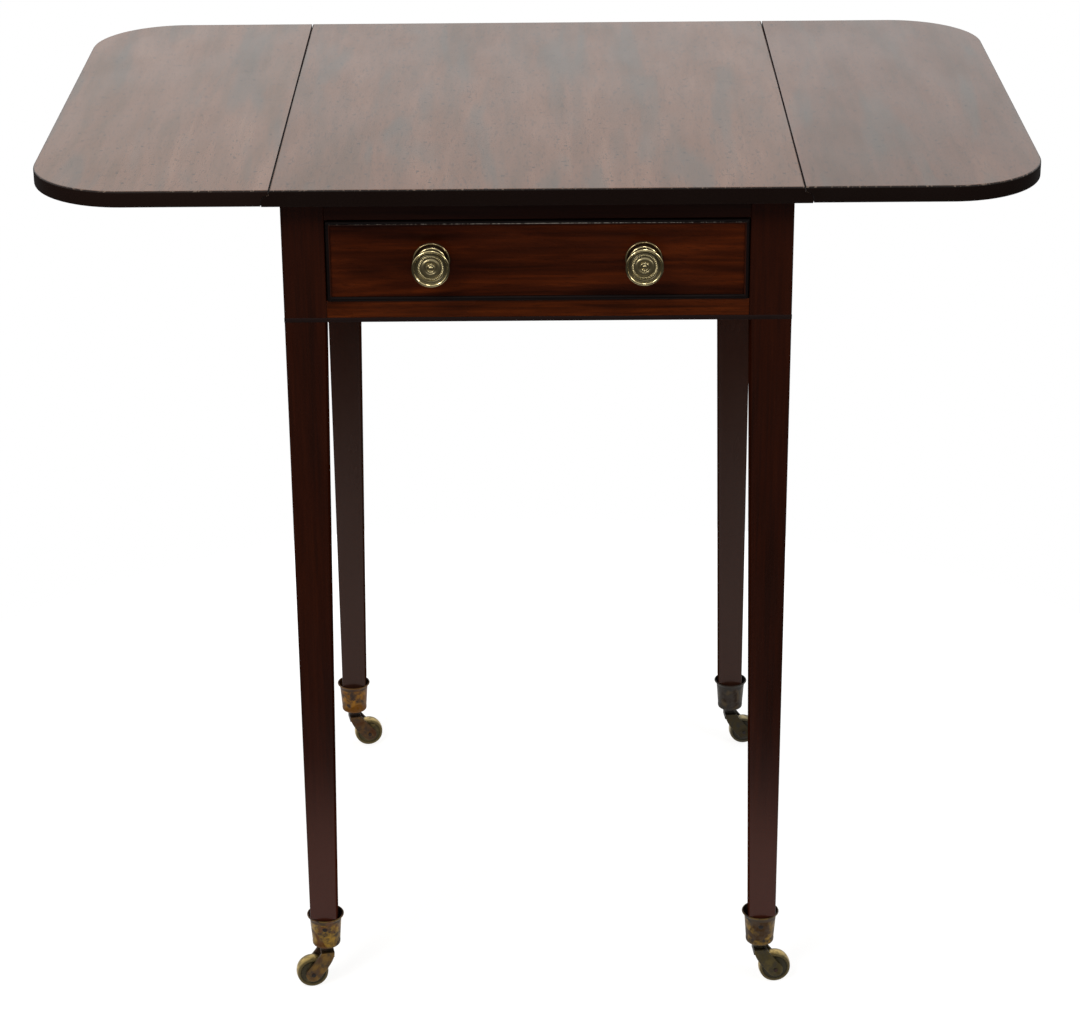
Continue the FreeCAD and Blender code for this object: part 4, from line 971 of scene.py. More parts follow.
@dataclass
class Bead:
    """Cock bead: a rounded strip mitred round a drawer front."""

    width: float = 3.4
    depth: float = 9.0
    rounding: float = 1.2
    steps: int = 5
    side_steps: int = 24
    chipped_at: float = 12.0
    chipped_half: float = 95.0
    chips_least: float = 0.75
    chips_more: float = 0.35

    def build(self, node_name: str, body: str, front: float, finish: Finishes) -> None:
        """Show one bead.

        The section runs from the wood out along the strip's outer face, round both arrises and back along its
        inner face, and each of its points goes round the opening as a rectangle set in by its distance. The
        attribute is above nought where the upper strip's inner arris is chipped, and below it where the stain
        is rubbed off down to red wood.

        Args:
            node_name: CAD node of the bead.
            body: CAD body that it moves with.
            front: Direction in which the bead stands out along y.
            finish: Materials of the table.
        """
        low, high = box_of(node_name)
        face = low[1] if front < 0 else high[1]
        outer = arc((self.rounding, self.rounding), (self.rounding, self.rounding), 1.0, 1.5, self.steps + 1)
        inner = np.stack([self.width - outer[::-1, 0], outer[::-1, 1]], axis=1)
        section = np.concatenate([[[0.0, self.depth]], outer, inner, [[self.width, self.depth]]])
        sides = np.linspace(0, 1, self.side_steps, endpoint=False)
        path = np.concatenate([np.stack([sides, 0 * sides], 1), np.stack([1 + 0 * sides, sides], 1),
                               np.stack([1 - sides, 1 + 0 * sides], 1), np.stack([0 * sides, 1 - sides], 1)])
        inset = section[:, None, 0]
        x = low[0] + inset + path[None, :, 0] * (high[0] - low[0] - 2 * inset)
        z = low[2] + inset + path[None, :, 1] * (high[2] - low[2] - 2 * inset)
        y = np.broadcast_to(face - front * section[:, None, 1], x.shape)
        row, arris = np.arange(len(section))[:, None], self.steps + 2
        bare = np.where((row > arris) & (path[None, :, 1] > 0), -1.0, 0.0)
        chipped = self.chips_least + self.chips_more * np.exp(-((x - self.chipped_at) / self.chipped_half) ** 2)
        rubbed = np.where((row == arris) & (path[None, :, 1] == 1), chipped, bare)
        shell = Shell()
        shell.add_grid(np.stack([x, y, z], axis=-1), round_rows=True, round_columns=True, grime_and_shade=rubbed)
        show(f"{node_name}_rounded", shell.mesh(node_name), finish.bead, body, [node_name])


@dataclass
class Drawer:
    """Dovetailed drawer with its figured front and beads, and the dummy's bead at the back."""

    arris: float = 0.35

    def build(self, finish: Finishes) -> None:
        """Show the drawer box and both beads.

        Args:
            finish: Materials of the table.
        """
        bevelled_copy("drawer_front", finish.front, "drawer", self.arris)
        for name, material in (("drawer_left_side", finish.lining_y), ("drawer_right_side", finish.lining_y),
                               ("drawer_back", finish.lining_x), ("drawer_bottom", finish.lining_y)):
            bevelled_copy(name, material, "drawer", self.arris)
        Bead().build("drawer_cock_bead", "drawer", -1.0, finish)
        Bead().build("dummy_cock_bead", "frame", 1.0, finish)


@dataclass
class Knobs:
    """Turned brass knobs with a milled ring, on dished roses."""

    steps: int = 240
    beads: int = 40
    bead_height: float = 0.35
    shank_radius: float = 2.5
    shank_gap: float = 0.2
    collar: float = 10.4
    collar_sunk: float = 0.3
    collar_rounding: float = 1.1
    collar_lift: float = 0.9
    neck_wide: float = 7.4
    neck_thin: float = 4.4
    neck_lift: float = 2.2
    neck_height: float = 5.0
    flare_drop: float = 8.4
    flare_gap: float = 1.2
    flare_height: float = 5.0
    edge: float = 1.15
    bowl_depth: float = 1.75
    rose_rounding: float = 0.75
    rose_chamfer: float = 0.3
    # Each point of the face is a share of the head's radius and a height over the bowl's floor, from the rim inward.
    BOWL: ClassVar[tuple[tuple[float, float], ...]] = (
        (0.835, -0.1), (0.8, -0.25), (0.77, -0.3), (0.755, -0.05), (0.735, 0.12), (0.715, -0.02), (0.69, -0.12))
    INSIDE: ClassVar[tuple[tuple[float, float], ...]] = (
        (0.545, -0.28), (0.5, -0.3), (0.465, 0.1), (0.44, 0.28), (0.38, 0.34), (0.33, 0.24), (0.305, -0.25),
        (0.27, -0.4), (0.25, -0.3))
    # Middle and half size of the face's three arches, in the same measures.
    RING: ClassVar[tuple[tuple[float, float], ...]] = ((0.615, 0.0), (0.06, 0.6))
    CROWN: ClassVar[tuple[tuple[float, float], ...]] = ((0.2, 0.1), (0.045, 0.65))
    DOME: ClassVar[tuple[tuple[float, float], ...]] = ((0.0, 0.05), (0.125, 0.75))
    # Grime of the shank, collar, neck, flare, rim, bowl, milled ring, inside, crown and dome.
    DIRT: ClassVar[tuple[float, ...]] = (0.8, 0.15, 0.9, 0.6, 0.0, 0.85, 0.62, 0.6, 0.35, 0.1)
    # Points of the rose's dish: distance from its edge and below its rim, then the seat under the collar.
    DISH: ClassVar[tuple[tuple[float, float], ...]] = ((1.8, 1.5), (3.5, 1.6))
    SEAT: ClassVar[tuple[tuple[float, float], ...]] = ((9.4, 0.9), (8.6, 0.2), (0.0, 0.2))
    ROSE_DIRT: ClassVar[tuple[float, ...]] = (0.5, 0.45, 1.0)

    def knob_profile(self, radius: float, reach: float, stand: float) -> tuple[np.ndarray, np.ndarray, np.ndarray]:
        """Half section of a knob, from the shank in the wood to the middle of its face.

        Collar, neck, flare, rim, milled ring, crown and dome are parts of ellipses, with straight lines between them.
        The milling grows with the sine along the ring's arch, and is nought elsewhere.

        Args:
            radius: Radius of the head.
            reach: Height of the rim over the drawer front.
            stand: Height of the rose's face.

        Returns:
            Radius and height of each point, how much it is milled, and its grime.
        """
        shank = np.array([[0.0, self.shank_gap], [self.shank_radius, self.shank_gap],
                          [self.shank_radius, stand - self.collar_sunk], [self.collar, stand - self.collar_sunk]])
        collar = arc((self.collar, stand + self.collar_lift), (self.collar_rounding, self.collar_rounding),
                     -0.4, 0.5, 7)
        neck = arc((self.neck_wide, stand + self.neck_lift + self.neck_height),
                   (self.neck_wide - self.neck_thin, self.neck_height), -0.5, -1.0, 7)
        spread = radius - self.neck_thin - self.flare_gap
        flare = arc((self.neck_thin + spread, reach - self.flare_drop), (spread, self.flare_height), 1.0, 0.5, 7)
        rim = arc((radius - self.edge, reach - self.edge), (self.edge, self.edge), -0.5, 1.0, 15)
        ring = arc(*self.RING, 0.0, 1.0, 9)
        crown = arc(*self.CROWN, 0.0, 1.0, 7)
        dome = arc(*self.DOME, 0.0, 0.5, 5)
        face = [np.array(part) * np.array([radius, 1.0]) + np.array([0.0, reach - self.bowl_depth])
                for part in (self.BOWL, ring, self.INSIDE, crown, dome)]
        parts = [shank, collar, neck, flare, rim, *face]
        before, after = sum(map(len, parts[:6])), sum(map(len, parts[7:]))
        milling = self.bead_height * np.sin(np.linspace(0, math.pi, len(ring)))
        milled = np.concatenate([np.zeros(before), milling, np.zeros(after)])
        grime_and_shade = np.concatenate([np.full(len(part), level) for part, level in zip(parts, self.DIRT)])
        return np.concatenate(parts), milled, grime_and_shade

    def rose_profile(self, radius: float, thickness: float) -> tuple[np.ndarray, np.ndarray]:
        """Half section of a dished rose, with its grime.

        The rim is a half circle, and back, dish and seat are straight lines between their points.

        Args:
            radius: Radius of the rose.
            thickness: Height of its rim.

        Returns:
            Radius and height of each point, and its grime.
        """
        size = self.rose_rounding
        back = np.array([[0.0, 0.0], [radius - self.rose_chamfer, 0.0], [radius, self.rose_chamfer]])
        rim = arc((radius - size, thickness - size), (size, size), 0.0, 1.0, 9)
        dish = [(radius - inset, thickness - depth) for inset, depth in self.DISH]
        dish += [(place, thickness - depth) for place, depth in self.SEAT]
        parts = [back, rim, np.array(dish)]
        grime_and_shade = np.concatenate([np.full(len(part), level) for part, level in zip(parts, self.ROSE_DIRT)])
        return np.concatenate(parts), grime_and_shade

    def build(self, prefix: str, body: str, front: float, finish: Finishes) -> None:
        """Show one pair of knobs with their roses, and dress the nuts.

        Args:
            prefix: Start of the CAD nodes' names.
            body: CAD body that they move with.
            front: Direction in which they point along y.
            finish: Materials of the table.
        """
        low, high = box_of(f"{prefix}_knobs")
        rose_low, rose_high = box_of(f"{prefix}_knob_roses")
        radius, rose_radius = (high[2] - low[2]) / 2, (rose_high[2] - rose_low[2]) / 2
        wood = rose_high[1] if front < 0 else rose_low[1]
        reach = abs((low[1] if front < 0 else high[1]) - wood)
        stand = rose_high[1] - rose_low[1]
        axis = np.array([0.0, front, 0.0])
        profile, milled, grime_and_shade = self.knob_profile(radius, reach, stand)
        rose, rose_grime = self.rose_profile(rose_radius, stand)
        knobs, roses = Shell(), Shell()
        for x in (low[0] + radius, high[0] - radius):
            centre = np.array([x, wood, (low[2] + high[2]) / 2])
            knobs.add_grid(revolved(profile, centre, axis, self.steps, milled, self.beads), round_columns=True,
                           grime_and_shade=grime_and_shade[:, None])
            roses.add_grid(revolved(rose, centre, axis, self.steps // 2), round_columns=True,
                           grime_and_shade=rose_grime[:, None])
        show(f"{prefix}_turned_knobs", knobs.mesh(f"{prefix}_knobs"), finish.knob, body,
             [f"{prefix}_knobs"])
        show(f"{prefix}_dished_roses", roses.mesh(f"{prefix}_roses"), finish.rose, body,
             [f"{prefix}_knob_roses"])
        dress_node(f"{prefix}_knob_nuts", finish.iron)


@dataclass
class Cup:
    """Turned cup that holds a leg's foot."""

    base: float
    height: float
    rim_radius: float
    body_radius: float = 13.2
    foot_radius: float = 11.5
    wall: float = 1.6
    flare: float = 5.0
    lip: float = 1.4
    foot_rounding: float = 1.6
    band: float = 3.2
    band_proud: float = 0.2
    body_levels: tuple[float, float, float] = (3.5, 8.0, 16.0)
    shoulder_step: float = 0.5
    bell_start: float = 0.1
    bell_end: float = 0.4
    bell_power: float = 2.4
    inner_flare: tuple[float, float] = (0.4, 1.0)
    floor: float = 3.0
    hole: float = 3.06

    @classmethod
    def measured(cls) -> "Cup":
        """Cup with the sizes that the boxes of the CAD cups and legs give.

        Returns:
            A cup whose rim radius is the distance from a foot's middle to the cups' outer side.
        """
        low, high = box_of("caster_cups")
        leg_low, _ = box_of("front_left_leg")
        return cls(float(low[2]), float(high[2] - low[2]), float(leg_low[0] + Legs.foot_width / 2 - low[0]))

    def profile(self) -> tuple[np.ndarray, np.ndarray]:
        """Half section of the cup, from the middle of its base round the rim to the inside, with how dark each point
        is.

        The foot is rounded by a quarter circle, the body is a cone with a band at its foot, the bell's radius grows
        with a power of its height, the lip is part of a circle and the inside is straight.

        Returns:
            Radius and height of each point, and how dark it is.
        """
        foot = arc((self.foot_radius + self.band_proud - self.foot_rounding, self.foot_rounding),
                   (self.foot_rounding, self.foot_rounding), -0.5, 0.0, 6)
        shoulder = self.height - self.flare
        slope = (self.body_radius - self.foot_radius) / (shoulder - self.foot_rounding)
        levels = np.array([self.band, *self.body_levels, shoulder - self.shoulder_step])
        radii = self.foot_radius + slope * (levels - self.foot_rounding)
        radii[0] += self.band_proud
        body = np.stack([radii, levels], axis=1)
        rise = np.linspace(0, 1, 7)
        first, last = self.body_radius + self.bell_start, self.rim_radius - self.bell_end
        bell = np.stack([first + (last - first) * rise ** self.bell_power,
                         shoulder + (self.flare - self.lip) * rise], axis=1)
        round_lip = self.lip / 2
        edge = arc((self.rim_radius - round_lip, self.height - round_lip), (round_lip, round_lip), -1 / 3, 1.0, 8)
        bore = self.body_radius - self.wall
        inside = np.array([[bore + self.inner_flare[0], shoulder + self.inner_flare[1]], [bore, shoulder],
                           [self.foot_radius - self.wall, self.floor], [self.hole, self.floor]])
        parts = [np.array([[self.hole, 0.0]]), foot, body, bell, edge, inside]
        # Rubbing keeps the body clean. Elsewhere it is darker: tarnish, with painted shade under the foot and the
        # bell, growing over the lip into the cup.
        darkening = ((0.9,), (0.6,), (0.0,), (0.9,), np.linspace(0.4, 1.0, len(edge)), (1.0,))
        grime_and_shade = np.concatenate([np.broadcast_to(level, len(part)) for part, level in zip(parts, darkening)])
        return np.concatenate(parts), grime_and_shade


@dataclass
class Casters:
    """Brass cups, horns and wheels under the legs."""

    steps: int = 72
    pin_radius: float = 2.2
    pin_proud: float = 0.45
    pin_share: float = 0.68
    neck_radius: float = 5.5
    neck_height: float = 5.0
    swivel_gap: float = 0.4
    spindle_radius: float = 3.0
    head_radius: float = 4.5
    head_height: float = 2.5
    fork_half: float = 9.25
    wheel_gap: float = 0.5
    bore: float = 1.75
    boss: float = 6.5
    strap_drop: float = 5.5
    bridge_height: float = 5.6
    bridge_rounding: float = 0.3
    overlap: float = 1.0
    neck_chamfer: float = 0.4
    arris: float = 0.7
    pin_depth: float = 1.0
    pin_sink: float = 0.5
    pin_steps: int = 24
    tread_crown: float = 0.8
    tread_edge: float = 0.5
    # Painted shade on the straps' inner faces beside the wheel and on the bridge over it.
    strap_painted_shade: float = 0.9
    bridge_painted_shade: float = 0.8
    # Tarnish at the tread's edges, deepened as painted shade.
    tread_tarnish_and_shade: float = 0.85
    # Points of a wheel's side: radius at the hub or distance from the crown at the tyre, and depth below the face.
    HUB: ClassVar[tuple[tuple[float, float], ...]] = ((4.2, 0.0), (5.0, 0.7))
    TYRE: ClassVar[tuple[tuple[float, float], ...]] = ((3.6, 1.0), (2.8, 0.3), (2.0, 0.0), (1.2, 0.1))
    # Darkness of a side's points from the bore out: tarnish, deepened as painted shade so the sides stay dark.
    SIDE_TARNISH_AND_SHADE: ClassVar[tuple[float, ...]] = (0.9, 0.8, 1.0, 1.0, 0.95, 0.85, 0.9)

    @staticmethod
    def foot(corner: str) -> np.ndarray:
        """Middle of the cup's base at a corner of the table.

        Args:
            corner: Name of the corner.

        Returns:
            The point, which lies on the axis of the caster's swivel.
        """
        low, high = box_of(f"{corner}_leg")
        inset = Legs.foot_width / 2
        return np.array([high[0] - inset if "right" in corner else low[0] + inset,
                         high[1] - inset if "back" in corner else low[1] + inset, Cup.measured().base])

    def wheel_profile(self, radius: float, width: float) -> tuple[np.ndarray, np.ndarray]:
        """Half section of a wheel, from the bore over one face, the tread and the other face, with how dark each point
        is.

        The tread's radius and its cleanness fall with the square of the distance from its middle, and the sides are
        straight lines between their points. Sides and tread edges are tarnished and darkened further as painted shade.

        Args:
            radius: Radius of the tread's crown.
            width: Width of the wheel.

        Returns:
            Radius and height of each point, and how dark it is.
        """
        half = width / 2
        turn = np.linspace(-1, 1, 9)
        tread = np.stack([radius - self.tread_crown * turn ** 2, turn * (half - self.tread_edge)], axis=1)
        side = np.array([(self.bore, -half), *((place, depth - half) for place, depth in self.HUB),
                         *((radius - inset, depth - half) for inset, depth in self.TYRE)])
        other = side[::-1] * np.array([1.0, -1.0])
        grime_and_shade = np.concatenate([self.SIDE_TARNISH_AND_SHADE, self.tread_tarnish_and_shade * turn ** 2, self.SIDE_TARNISH_AND_SHADE[::-1]])
        return np.concatenate([side, tread, other]), grime_and_shade

    def cheek(self, sign: float, axle: np.ndarray, neck_base: float, inner: float) -> np.ndarray:
        """Strap beside the wheel: an outline with a round end, carried across its thickness.

        The middle line goes down from the neck and bends to the axle, as a quadratic curve. The outline keeps half
        the strap's width from it, less the inset of the arris, and closes in a half circle round the axle.

        Args:
            sign: Side of the wheel, -1 or 1.
            axle: Distance of the axle from the swivel's axis, and its height.
            neck_base: Height of the strap's upper end.
            inner: Distance of the strap's inner face from the wheel's middle.

        Returns:
            Points along, across and up, thickness by outline by three.
        """
        share = np.linspace(0, 1, 15)[:, None]
        start, bend = np.array([0.0, neck_base]), np.array([0.0, neck_base - self.strap_drop])
        middle = (1 - share) ** 2 * start + 2 * share * (1 - share) * bend + share ** 2 * axle
        run = (1 - share) * (bend - start) + share * (axle - bend)
        run /= np.linalg.norm(run, axis=1, keepdims=True)
        side = np.stack([-run[:, 1], run[:, 0]], axis=1)
        half = self.neck_radius + (self.boss - self.neck_radius) * share
        last = math.atan2(side[-1, 1], side[-1, 0])
        turn = np.linspace(last, last - math.pi, 15)[1:-1]
        arris = np.linspace(0, math.pi / 2, 4)
        inset = self.arris * np.concatenate([1 - np.sin(arris), 1 - np.cos(arris)])[:, None, None]
        depth = np.concatenate([inner + self.arris * (1 - np.cos(arris)),
                                self.fork_half - self.arris * (1 - np.sin(arris))])
        round_end = axle + (self.boss - inset) * np.stack([np.cos(turn), np.sin(turn)], axis=1)
        outline = np.concatenate([middle + side * (half - inset), round_end,
                                  (middle - side * (half - inset))[:, ::-1]], axis=1)
        across = np.broadcast_to(sign * depth[:, None, None], (*outline.shape[:2], 1))
        return np.concatenate([outline[..., :1], across, outline[..., 1:]], axis=-1)

    def build_horn(self, corner: str, foot: np.ndarray, wheel: np.ndarray, width: float, finish: Finishes) -> None:
        """Show one horn: two straps with a bridge over the wheel, under a neck with a headed spindle.

        A point along, across and up goes to foot + along * forward + across * sideways + up * z, with forward
        from the swivel's axis to the wheel.

        Args:
            corner: Corner of the table.
            foot: Point of the swivel's axis at the cup's base.
            wheel: Middle of the wheel.
            width: Width of the wheel.
            finish: Materials of the table.
        """
        forward = (wheel - foot)[:2]
        trail = np.linalg.norm(forward)
        forward = forward / trail
        turned = np.array([[*forward, 0.0], [-forward[1], forward[0], 0.0], [0.0, 0.0, 1.0]])
        floor = np.array([foot[0], foot[1], 0.0])
        inner = width / 2 + self.wheel_gap
        top = foot[2] - self.swivel_gap
        neck_base = top - self.neck_height
        head_top = box_of(f"{corner}_caster_horn")[1][2]
        horn = Shell()
        for sign in (-1.0, 1.0):
            strap = self.cheek(sign, np.array([trail, wheel[2]]), neck_base, inner)
            # Painted shade: the straps' inner faces, beside the wheel, are darkened.
            darkening = np.where(np.arange(len(strap)) < len(strap) // 2, self.strap_painted_shade, 0.0)
            horn.add_grid(strap @ turned + floor, round_columns=True, caps=True, grime_and_shade=darkening[:, None])
        # The bridge over the wheel is darkened as painted shade.
        bridge = rounded_block((-self.neck_radius, -inner - self.overlap, neck_base - self.bridge_height),
                               (self.neck_radius, inner + self.overlap, neck_base), self.bridge_rounding)
        horn.add_grid(bridge @ turned + floor, round_columns=True, caps=True, grime_and_shade=np.array([[self.bridge_painted_shade]]))
        # Neck, spindle and head are painted fully dark, as the cup's shadow.
        neck = np.array([[0.0, neck_base - self.overlap], [self.neck_radius, neck_base - self.overlap],
                         [self.neck_radius, top - self.neck_chamfer], [self.neck_radius - self.neck_chamfer, top],
                         [self.spindle_radius, top], [self.spindle_radius, head_top - self.head_height],
                         [self.head_radius, head_top - self.head_height], [self.head_radius, head_top],
                         [0.0, head_top]])
        horn.add_grid(revolved(neck, floor, np.array([0.0, 0.0, 1.0]), self.steps), round_columns=True,
                      grime_and_shade=np.array([[1.0]]))
        show(f"{corner}_cast_horn", horn.mesh(f"{corner}_horn"), finish.horns[corner], f"{corner}_caster",
             [f"{corner}_caster_horn"])

    def build_cups(self, finish: Finishes) -> None:
        """Show the four cups, each with the head of the pin that holds it to its leg.

        A pin's head is a quarter ellipse turned round the pin's axis.

        Args:
            finish: Materials of the table.
        """
        cup = Cup.measured()
        profile, grime_and_shade = cup.profile()
        head = arc((0.0, 0.0), (self.pin_radius, self.pin_proud), 0.0, 0.5, 6)
        head = np.concatenate([[[0.0, -self.pin_depth], [self.pin_radius, -self.pin_depth]], head])
        upright = np.array([0.0, 0.0, 1.0])
        pins = Shell()
        for corner in CORNERS:
            foot = self.foot(corner)
            outward = np.array([0.0, math.copysign(1, foot[1]), 0.0])
            turned = Shell()
            turned.add_grid(revolved(profile, foot, upright, self.steps), round_rows=True, round_columns=True,
                            grime_and_shade=grime_and_shade[:, None])
            show(f"{corner}_turned_cup", turned.mesh(f"{corner}_cup"), finish.cups[corner], "frame",
                 ["caster_cups"])
            spot = foot + self.pin_share * cup.height * upright + outward * (cup.body_radius - self.pin_sink)
            pins.add_grid(revolved(head, spot, outward, self.pin_steps), round_columns=True)
        show("cup_pins", pins.mesh("cup_pins"), finish.iron, "frame", [])

    def build(self, finish: Finishes) -> None:
        """Show cups, horns and wheels, and dress the axles.

        Args:
            finish: Materials of the table.
        """
        self.build_cups(finish)
        axes = {joint["name"]: np.array(joint["axis"], float) for joint in frame["joints"]}
        for corner in CORNERS:
            dress_node(f"{corner}_caster_axle", finish.iron)
            low, high = box_of(f"{corner}_caster_wheel")
            radius = (high[2] - low[2]) / 2
            axis = axes[f"{corner}_wheel_roll"]
            # Along y a wheel's box spans its width times the axis's y and its diameter times the axis's x.
            across = np.abs(axis)
            width = (high[1] - low[1] - 2 * radius * across[0]) / across[1]
            self.build_horn(corner, self.foot(corner), (low + high) / 2, width, finish)
            profile, grime_and_shade = self.wheel_profile(radius, width)
            wheel = Shell()
            wheel.add_grid(revolved(profile, (low + high) / 2, axis, self.steps), round_rows=True, round_columns=True,
                           grime_and_shade=grime_and_shade[:, None])
            show(f"{corner}_turned_wheel", wheel.mesh(f"{corner}_wheel"), finish.treads[corner], f"{corner}_wheel",
                 [f"{corner}_caster_wheel"])


@dataclass
class Studio:
    """Pale floor, soft light and the photograph's viewpoint."""

    image_width: int = 1080
    focal_pixels: float = 3056.04
    sensor: float = 36.0
    camera_place: tuple[float, float, float] = (5.185, -2441.23, 1402.97)
    yaw: float = -0.0022
    pitch: float = 0.4102
    roll: float = 0.0079
    floor_radius: float = 760.0
    floor_colour: str = "#e9e7e3"
    shadow_share: float = 0.35
    ambient: float = 0.38
    floor_white: float = 1.28
    dim_room: float = 0.06
    pane_size: float = 480.0
    pane_power: float = 15.0
    pane_target: tuple[float, float, float] = (0.0, -240.0, 650.0)
    pane_places: tuple[tuple[float, float, float], ...] = ((-1014.0, -1742.0, 1496.0), (218.0, -1056.0, 2462.0),
                                                           (1570.0, -1146.0, 1496.0))
    floor_rings: int = 18
    floor_steps: int = 96
    shadow_fade: tuple[float, float] = (0.35, 0.98)
    light_fade: tuple[float, float] = (0.55, 0.98)
    horizon: tuple[float, float] = (-0.12, 0.24)
    # Place and target of each softbox, its side and its power in watts.
    SOFTBOXES: ClassVar[dict[str, tuple[Sequence[float], Sequence[float], float, float]]] = {
        "overhead_softbox": ((0.0, 300.0, 2600.0), (0.0, 0.0, 500.0), 1600.0, 20.0),
        "front_left_softbox": ((-1300.0, -1900.0, 2700.0), (0.0, -200.0, 520.0), 1300.0, 52.0),
        "front_right_softbox": ((1700.0, -1500.0, 2400.0), (0.0, -200.0, 480.0), 1300.0, 28.0)}

    def build(self) -> None:
        """Make the camera, the floor, the lamps and the world."""
        self.build_camera()
        self.build_floor()
        for name, settings in self.SOFTBOXES.items():
            self.build_lamp(name, *settings)
        self.build_panes(("drawer_turned_knobs", "drawer_dished_roses"))
        self.build_world()
        bpy.context.scene.view_settings.view_transform = "Standard"

    def build_panes(self, mirrors: Sequence[str]) -> None:
        """Hang small bright panes that only the turned brass mirrors, as sharp lights on its rims.

        Args:
            mirrors: Names of the pieces that mirror the panes.
        """
        brass = bpy.data.collections.new("turned_brass")
        for name in mirrors:
            brass.objects.link(bpy.data.objects[name])
        for number, place in enumerate(self.pane_places):
            pane = self.build_lamp(f"pane_{number}", place, self.pane_target, self.pane_size, self.pane_power)
            pane.visible_glossy = True
            pane.visible_camera = False
            pane.light_linking.receiver_collection = brass

    def build_camera(self) -> None:
        """Make the camera from its yaw, pitch and roll, with the focal length that its pixels give.

        It looks along sin yaw * cos pitch, cos yaw * cos pitch, -sin pitch, and is then turned by the roll.
        """
        forward = np.array([math.sin(self.yaw) * math.cos(self.pitch), math.cos(self.yaw) * math.cos(self.pitch),
                            -math.sin(self.pitch)])
        level = np.array([math.cos(self.yaw), -math.sin(self.yaw), 0.0])
        down = np.cross(forward, level)
        right = math.cos(self.roll) * level + math.sin(self.roll) * down
        under = -math.sin(self.roll) * level + math.cos(self.roll) * down
        data = bpy.data.cameras.new("photo_view")
        data.sensor_fit = "HORIZONTAL"
        data.sensor_width = self.sensor
        data.lens = self.focal_pixels / self.image_width * self.sensor
        camera = bpy.data.objects.new("photo_view", data)
        camera.matrix_world = placed((right, -under, -forward), self.camera_place)
        bpy.context.scene.collection.objects.link(camera)
        bpy.context.scene.camera = camera

    def build_floor(self) -> None:
        """Make a round pale floor that fades into the white background at its rim.

        A point at radius r and angle a lies at r * cos a, r * sin a and height nought.
        """
        rings = np.linspace(0, 1, self.floor_rings + 1)[1:] * self.floor_radius
        angles = np.linspace(0, 2 * math.pi, self.floor_steps, endpoint=False)
        flat = np.stack([rings[:, None] * np.cos(angles), rings[:, None] * np.sin(angles),
                         np.zeros((len(rings), len(angles)))], axis=-1) * METRES
        numbers = np.arange(flat[..., 0].size).reshape(flat.shape[:2])
        loop = np.concatenate([numbers, numbers[:, :1]], axis=1)
        quads = np.stack([loop[:-1, :-1], loop[1:, :-1], loop[1:, 1:], loop[:-1, 1:]], axis=-1).reshape(-1, 4)
        mesh = bpy.data.meshes.new("floor")
        mesh.from_pydata(flat.reshape(-1, 3).tolist(), [], [*quads.tolist(), numbers[0].tolist()])
        floor = bpy.data.objects.new("floor", mesh)
        bpy.context.scene.collection.objects.link(floor)
        mesh.materials.append(self.floor_material())

    def floor_material(self) -> bpy.types.Material:
        """Painted floor, matt: white to the camera and in reflections, with a faint shadow.

        Returns:
            A material that lets less of the shade show towards the rim.
        """
        made, tree, where = blank("matt_painted_floor")
        far = node(tree, "ShaderNodeVectorMath", {0: where.outputs["Object"]}, operation="LENGTH")
        shade = node(tree, "ShaderNodeMapRange", {"Value": far.outputs["Value"],
                                                  "From Min": self.shadow_fade[0] * self.floor_radius * METRES,
                                                  "From Max": self.shadow_fade[1] * self.floor_radius * METRES,
                                                  "To Min": 1 - self.shadow_share, "To Max": 1.0},
                     interpolation_type=Ease.SOFT.value)
        path = node(tree, "ShaderNodeLightPath")
        seen = node(tree, "ShaderNodeMath", {0: path.outputs["Is Camera Ray"], 1: path.outputs["Is Glossy Ray"]},
                    operation="MAXIMUM")
        seen = node(tree, "ShaderNodeMath", {0: seen.outputs[0], 1: path.outputs["Is Transmission Ray"]},
                    operation="MAXIMUM")
        share = node(tree, "ShaderNodeMath", {0: seen.outputs[0], 1: shade.outputs[0]}, operation="MULTIPLY")
        paint = node(tree, "ShaderNodeBsdfDiffuse", {"Color": linear(self.floor_colour)})
        spread = node(tree, "ShaderNodeMapRange", {"Value": far.outputs["Value"],
                                                   "From Min": self.light_fade[0] * self.floor_radius * METRES,
                                                   "From Max": self.light_fade[1] * self.floor_radius * METRES,
                                                   "To Min": 1.0, "To Max": self.dim_room},
                      interpolation_type=Ease.SOFT.value)
        strength = node(tree, "ShaderNodeMix", {"Factor": path.outputs["Is Camera Ray"], 2: spread.outputs[0],
                                                3: self.floor_white})
        white = node(tree, "ShaderNodeEmission", {"Color": (1.0, 1.0, 1.0, 1.0), "Strength": strength.outputs[0]})
        both = node(tree, "ShaderNodeMixShader", {0: share.outputs[0], 1: paint.outputs[0], 2: white.outputs[0]})
        node(tree, "ShaderNodeOutputMaterial", {"Surface": both.outputs[0]})
        return made

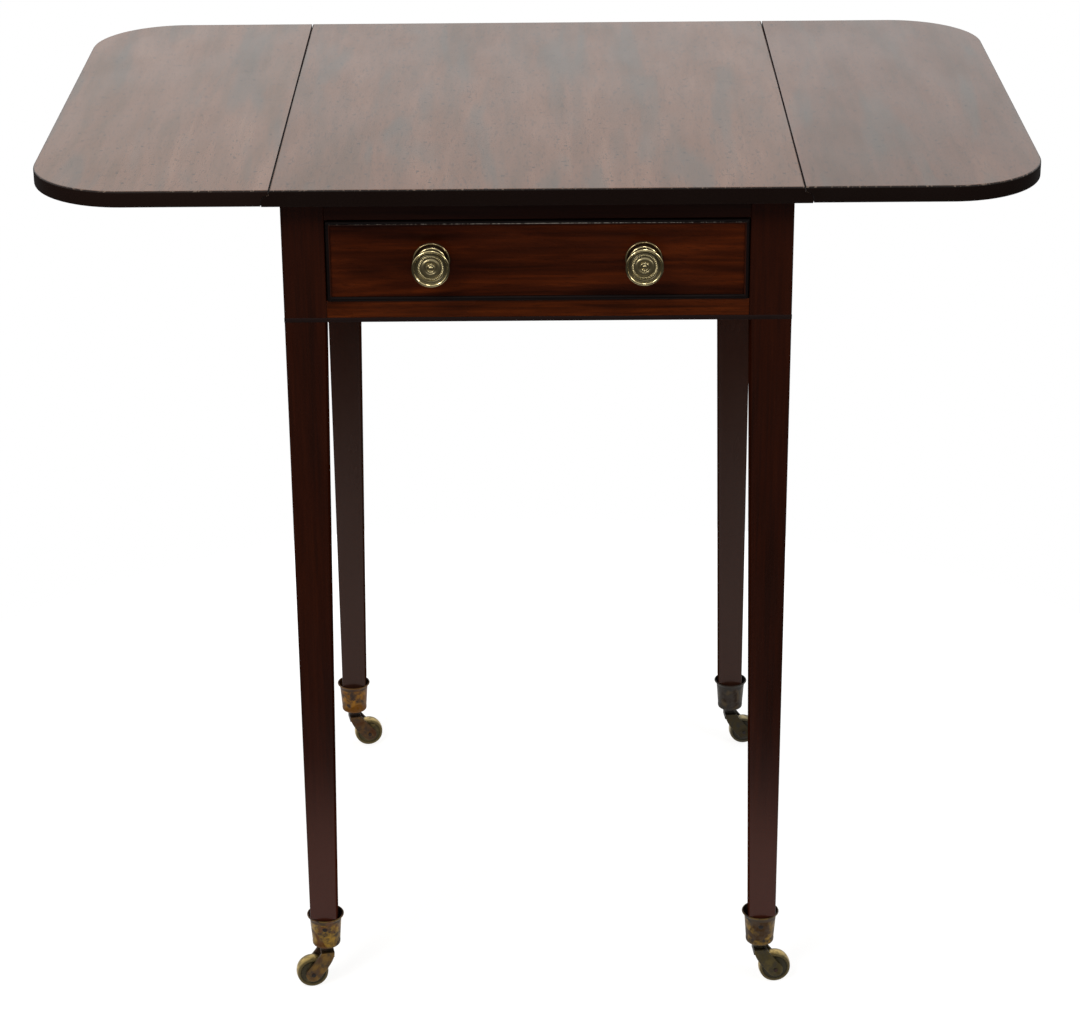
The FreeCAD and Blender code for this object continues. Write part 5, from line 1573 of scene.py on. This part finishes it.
    def build_lamp(self, name: str, place: Sequence[float], target: Sequence[float], size: float,
                   power: float) -> bpy.types.Object:
        """Make a square softbox that looks at a target.

        Args:
            name: Name of the lamp.
            place: Where it hangs.
            target: What it looks at.
            size: Side of the square.
            power: Power in watts.

        Returns:
            The lamp, which reflections do not show.
        """
        data = bpy.data.lights.new(name, "AREA")
        data.energy = power
        data.size = size * METRES
        lamp = bpy.data.objects.new(name, data)
        back = np.array(place) - np.array(target)
        back /= np.linalg.norm(back)
        across = np.cross([0.0, 1.0, 0.0], back)
        across /= np.linalg.norm(across)
        lamp.matrix_world = placed((across, np.cross(back, across), back), place)
        lamp.visible_glossy = False
        bpy.context.scene.collection.objects.link(lamp)
        return lamp

    def build_world(self) -> None:
        """Make the world: white to the camera and, above the horizon, in reflections, and grey soft light else."""
        world = bpy.data.worlds.new("studio")
        bpy.context.scene.world = world
        world.use_nodes = True
        tree = world.node_tree
        tree.nodes.clear()
        where = node(tree, "ShaderNodeTexCoord")
        height = node(tree, "ShaderNodeSeparateXYZ", {"Vector": where.outputs["Generated"]})
        above = node(tree, "ShaderNodeMapRange", {"Value": height.outputs["Z"], "From Min": self.horizon[0],
                                                  "From Max": self.horizon[1], "To Min": self.dim_room, "To Max": 1.0},
                     interpolation_type=Ease.SOFT.value)
        path = node(tree, "ShaderNodeLightPath")
        mirrored = node(tree, "ShaderNodeMath", {0: path.outputs["Is Glossy Ray"],
                                                 1: path.outputs["Is Transmission Ray"]}, operation="MAXIMUM")
        level = node(tree, "ShaderNodeMix", {"Factor": mirrored.outputs[0], 2: self.ambient, 3: above.outputs[0]})
        level = node(tree, "ShaderNodeMix", {"Factor": path.outputs["Is Camera Ray"], 2: level.outputs[0], 3: 1.0})
        light = node(tree, "ShaderNodeBackground", {"Color": (1.0, 1.0, 1.0, 1.0), "Strength": level.outputs[0]})
        node(tree, "ShaderNodeOutputWorld", {"Surface": light.outputs[0]})


def main() -> None:
    """Build the table's sub-assemblies and the studio in order."""
    logging.basicConfig(level=logging.INFO, format="%(message)s")
    finish = Finishes()
    TopBoards().build(finish)
    Legs().build(finish)
    Case().build(finish)
    Drawer().build(finish)
    Knobs().build("drawer", "drawer", -1.0, finish)
    Knobs().build("dummy", "frame", 1.0, finish)
    Casters().build(finish)
    Studio().build()


if __name__ == "__main__":
    main()
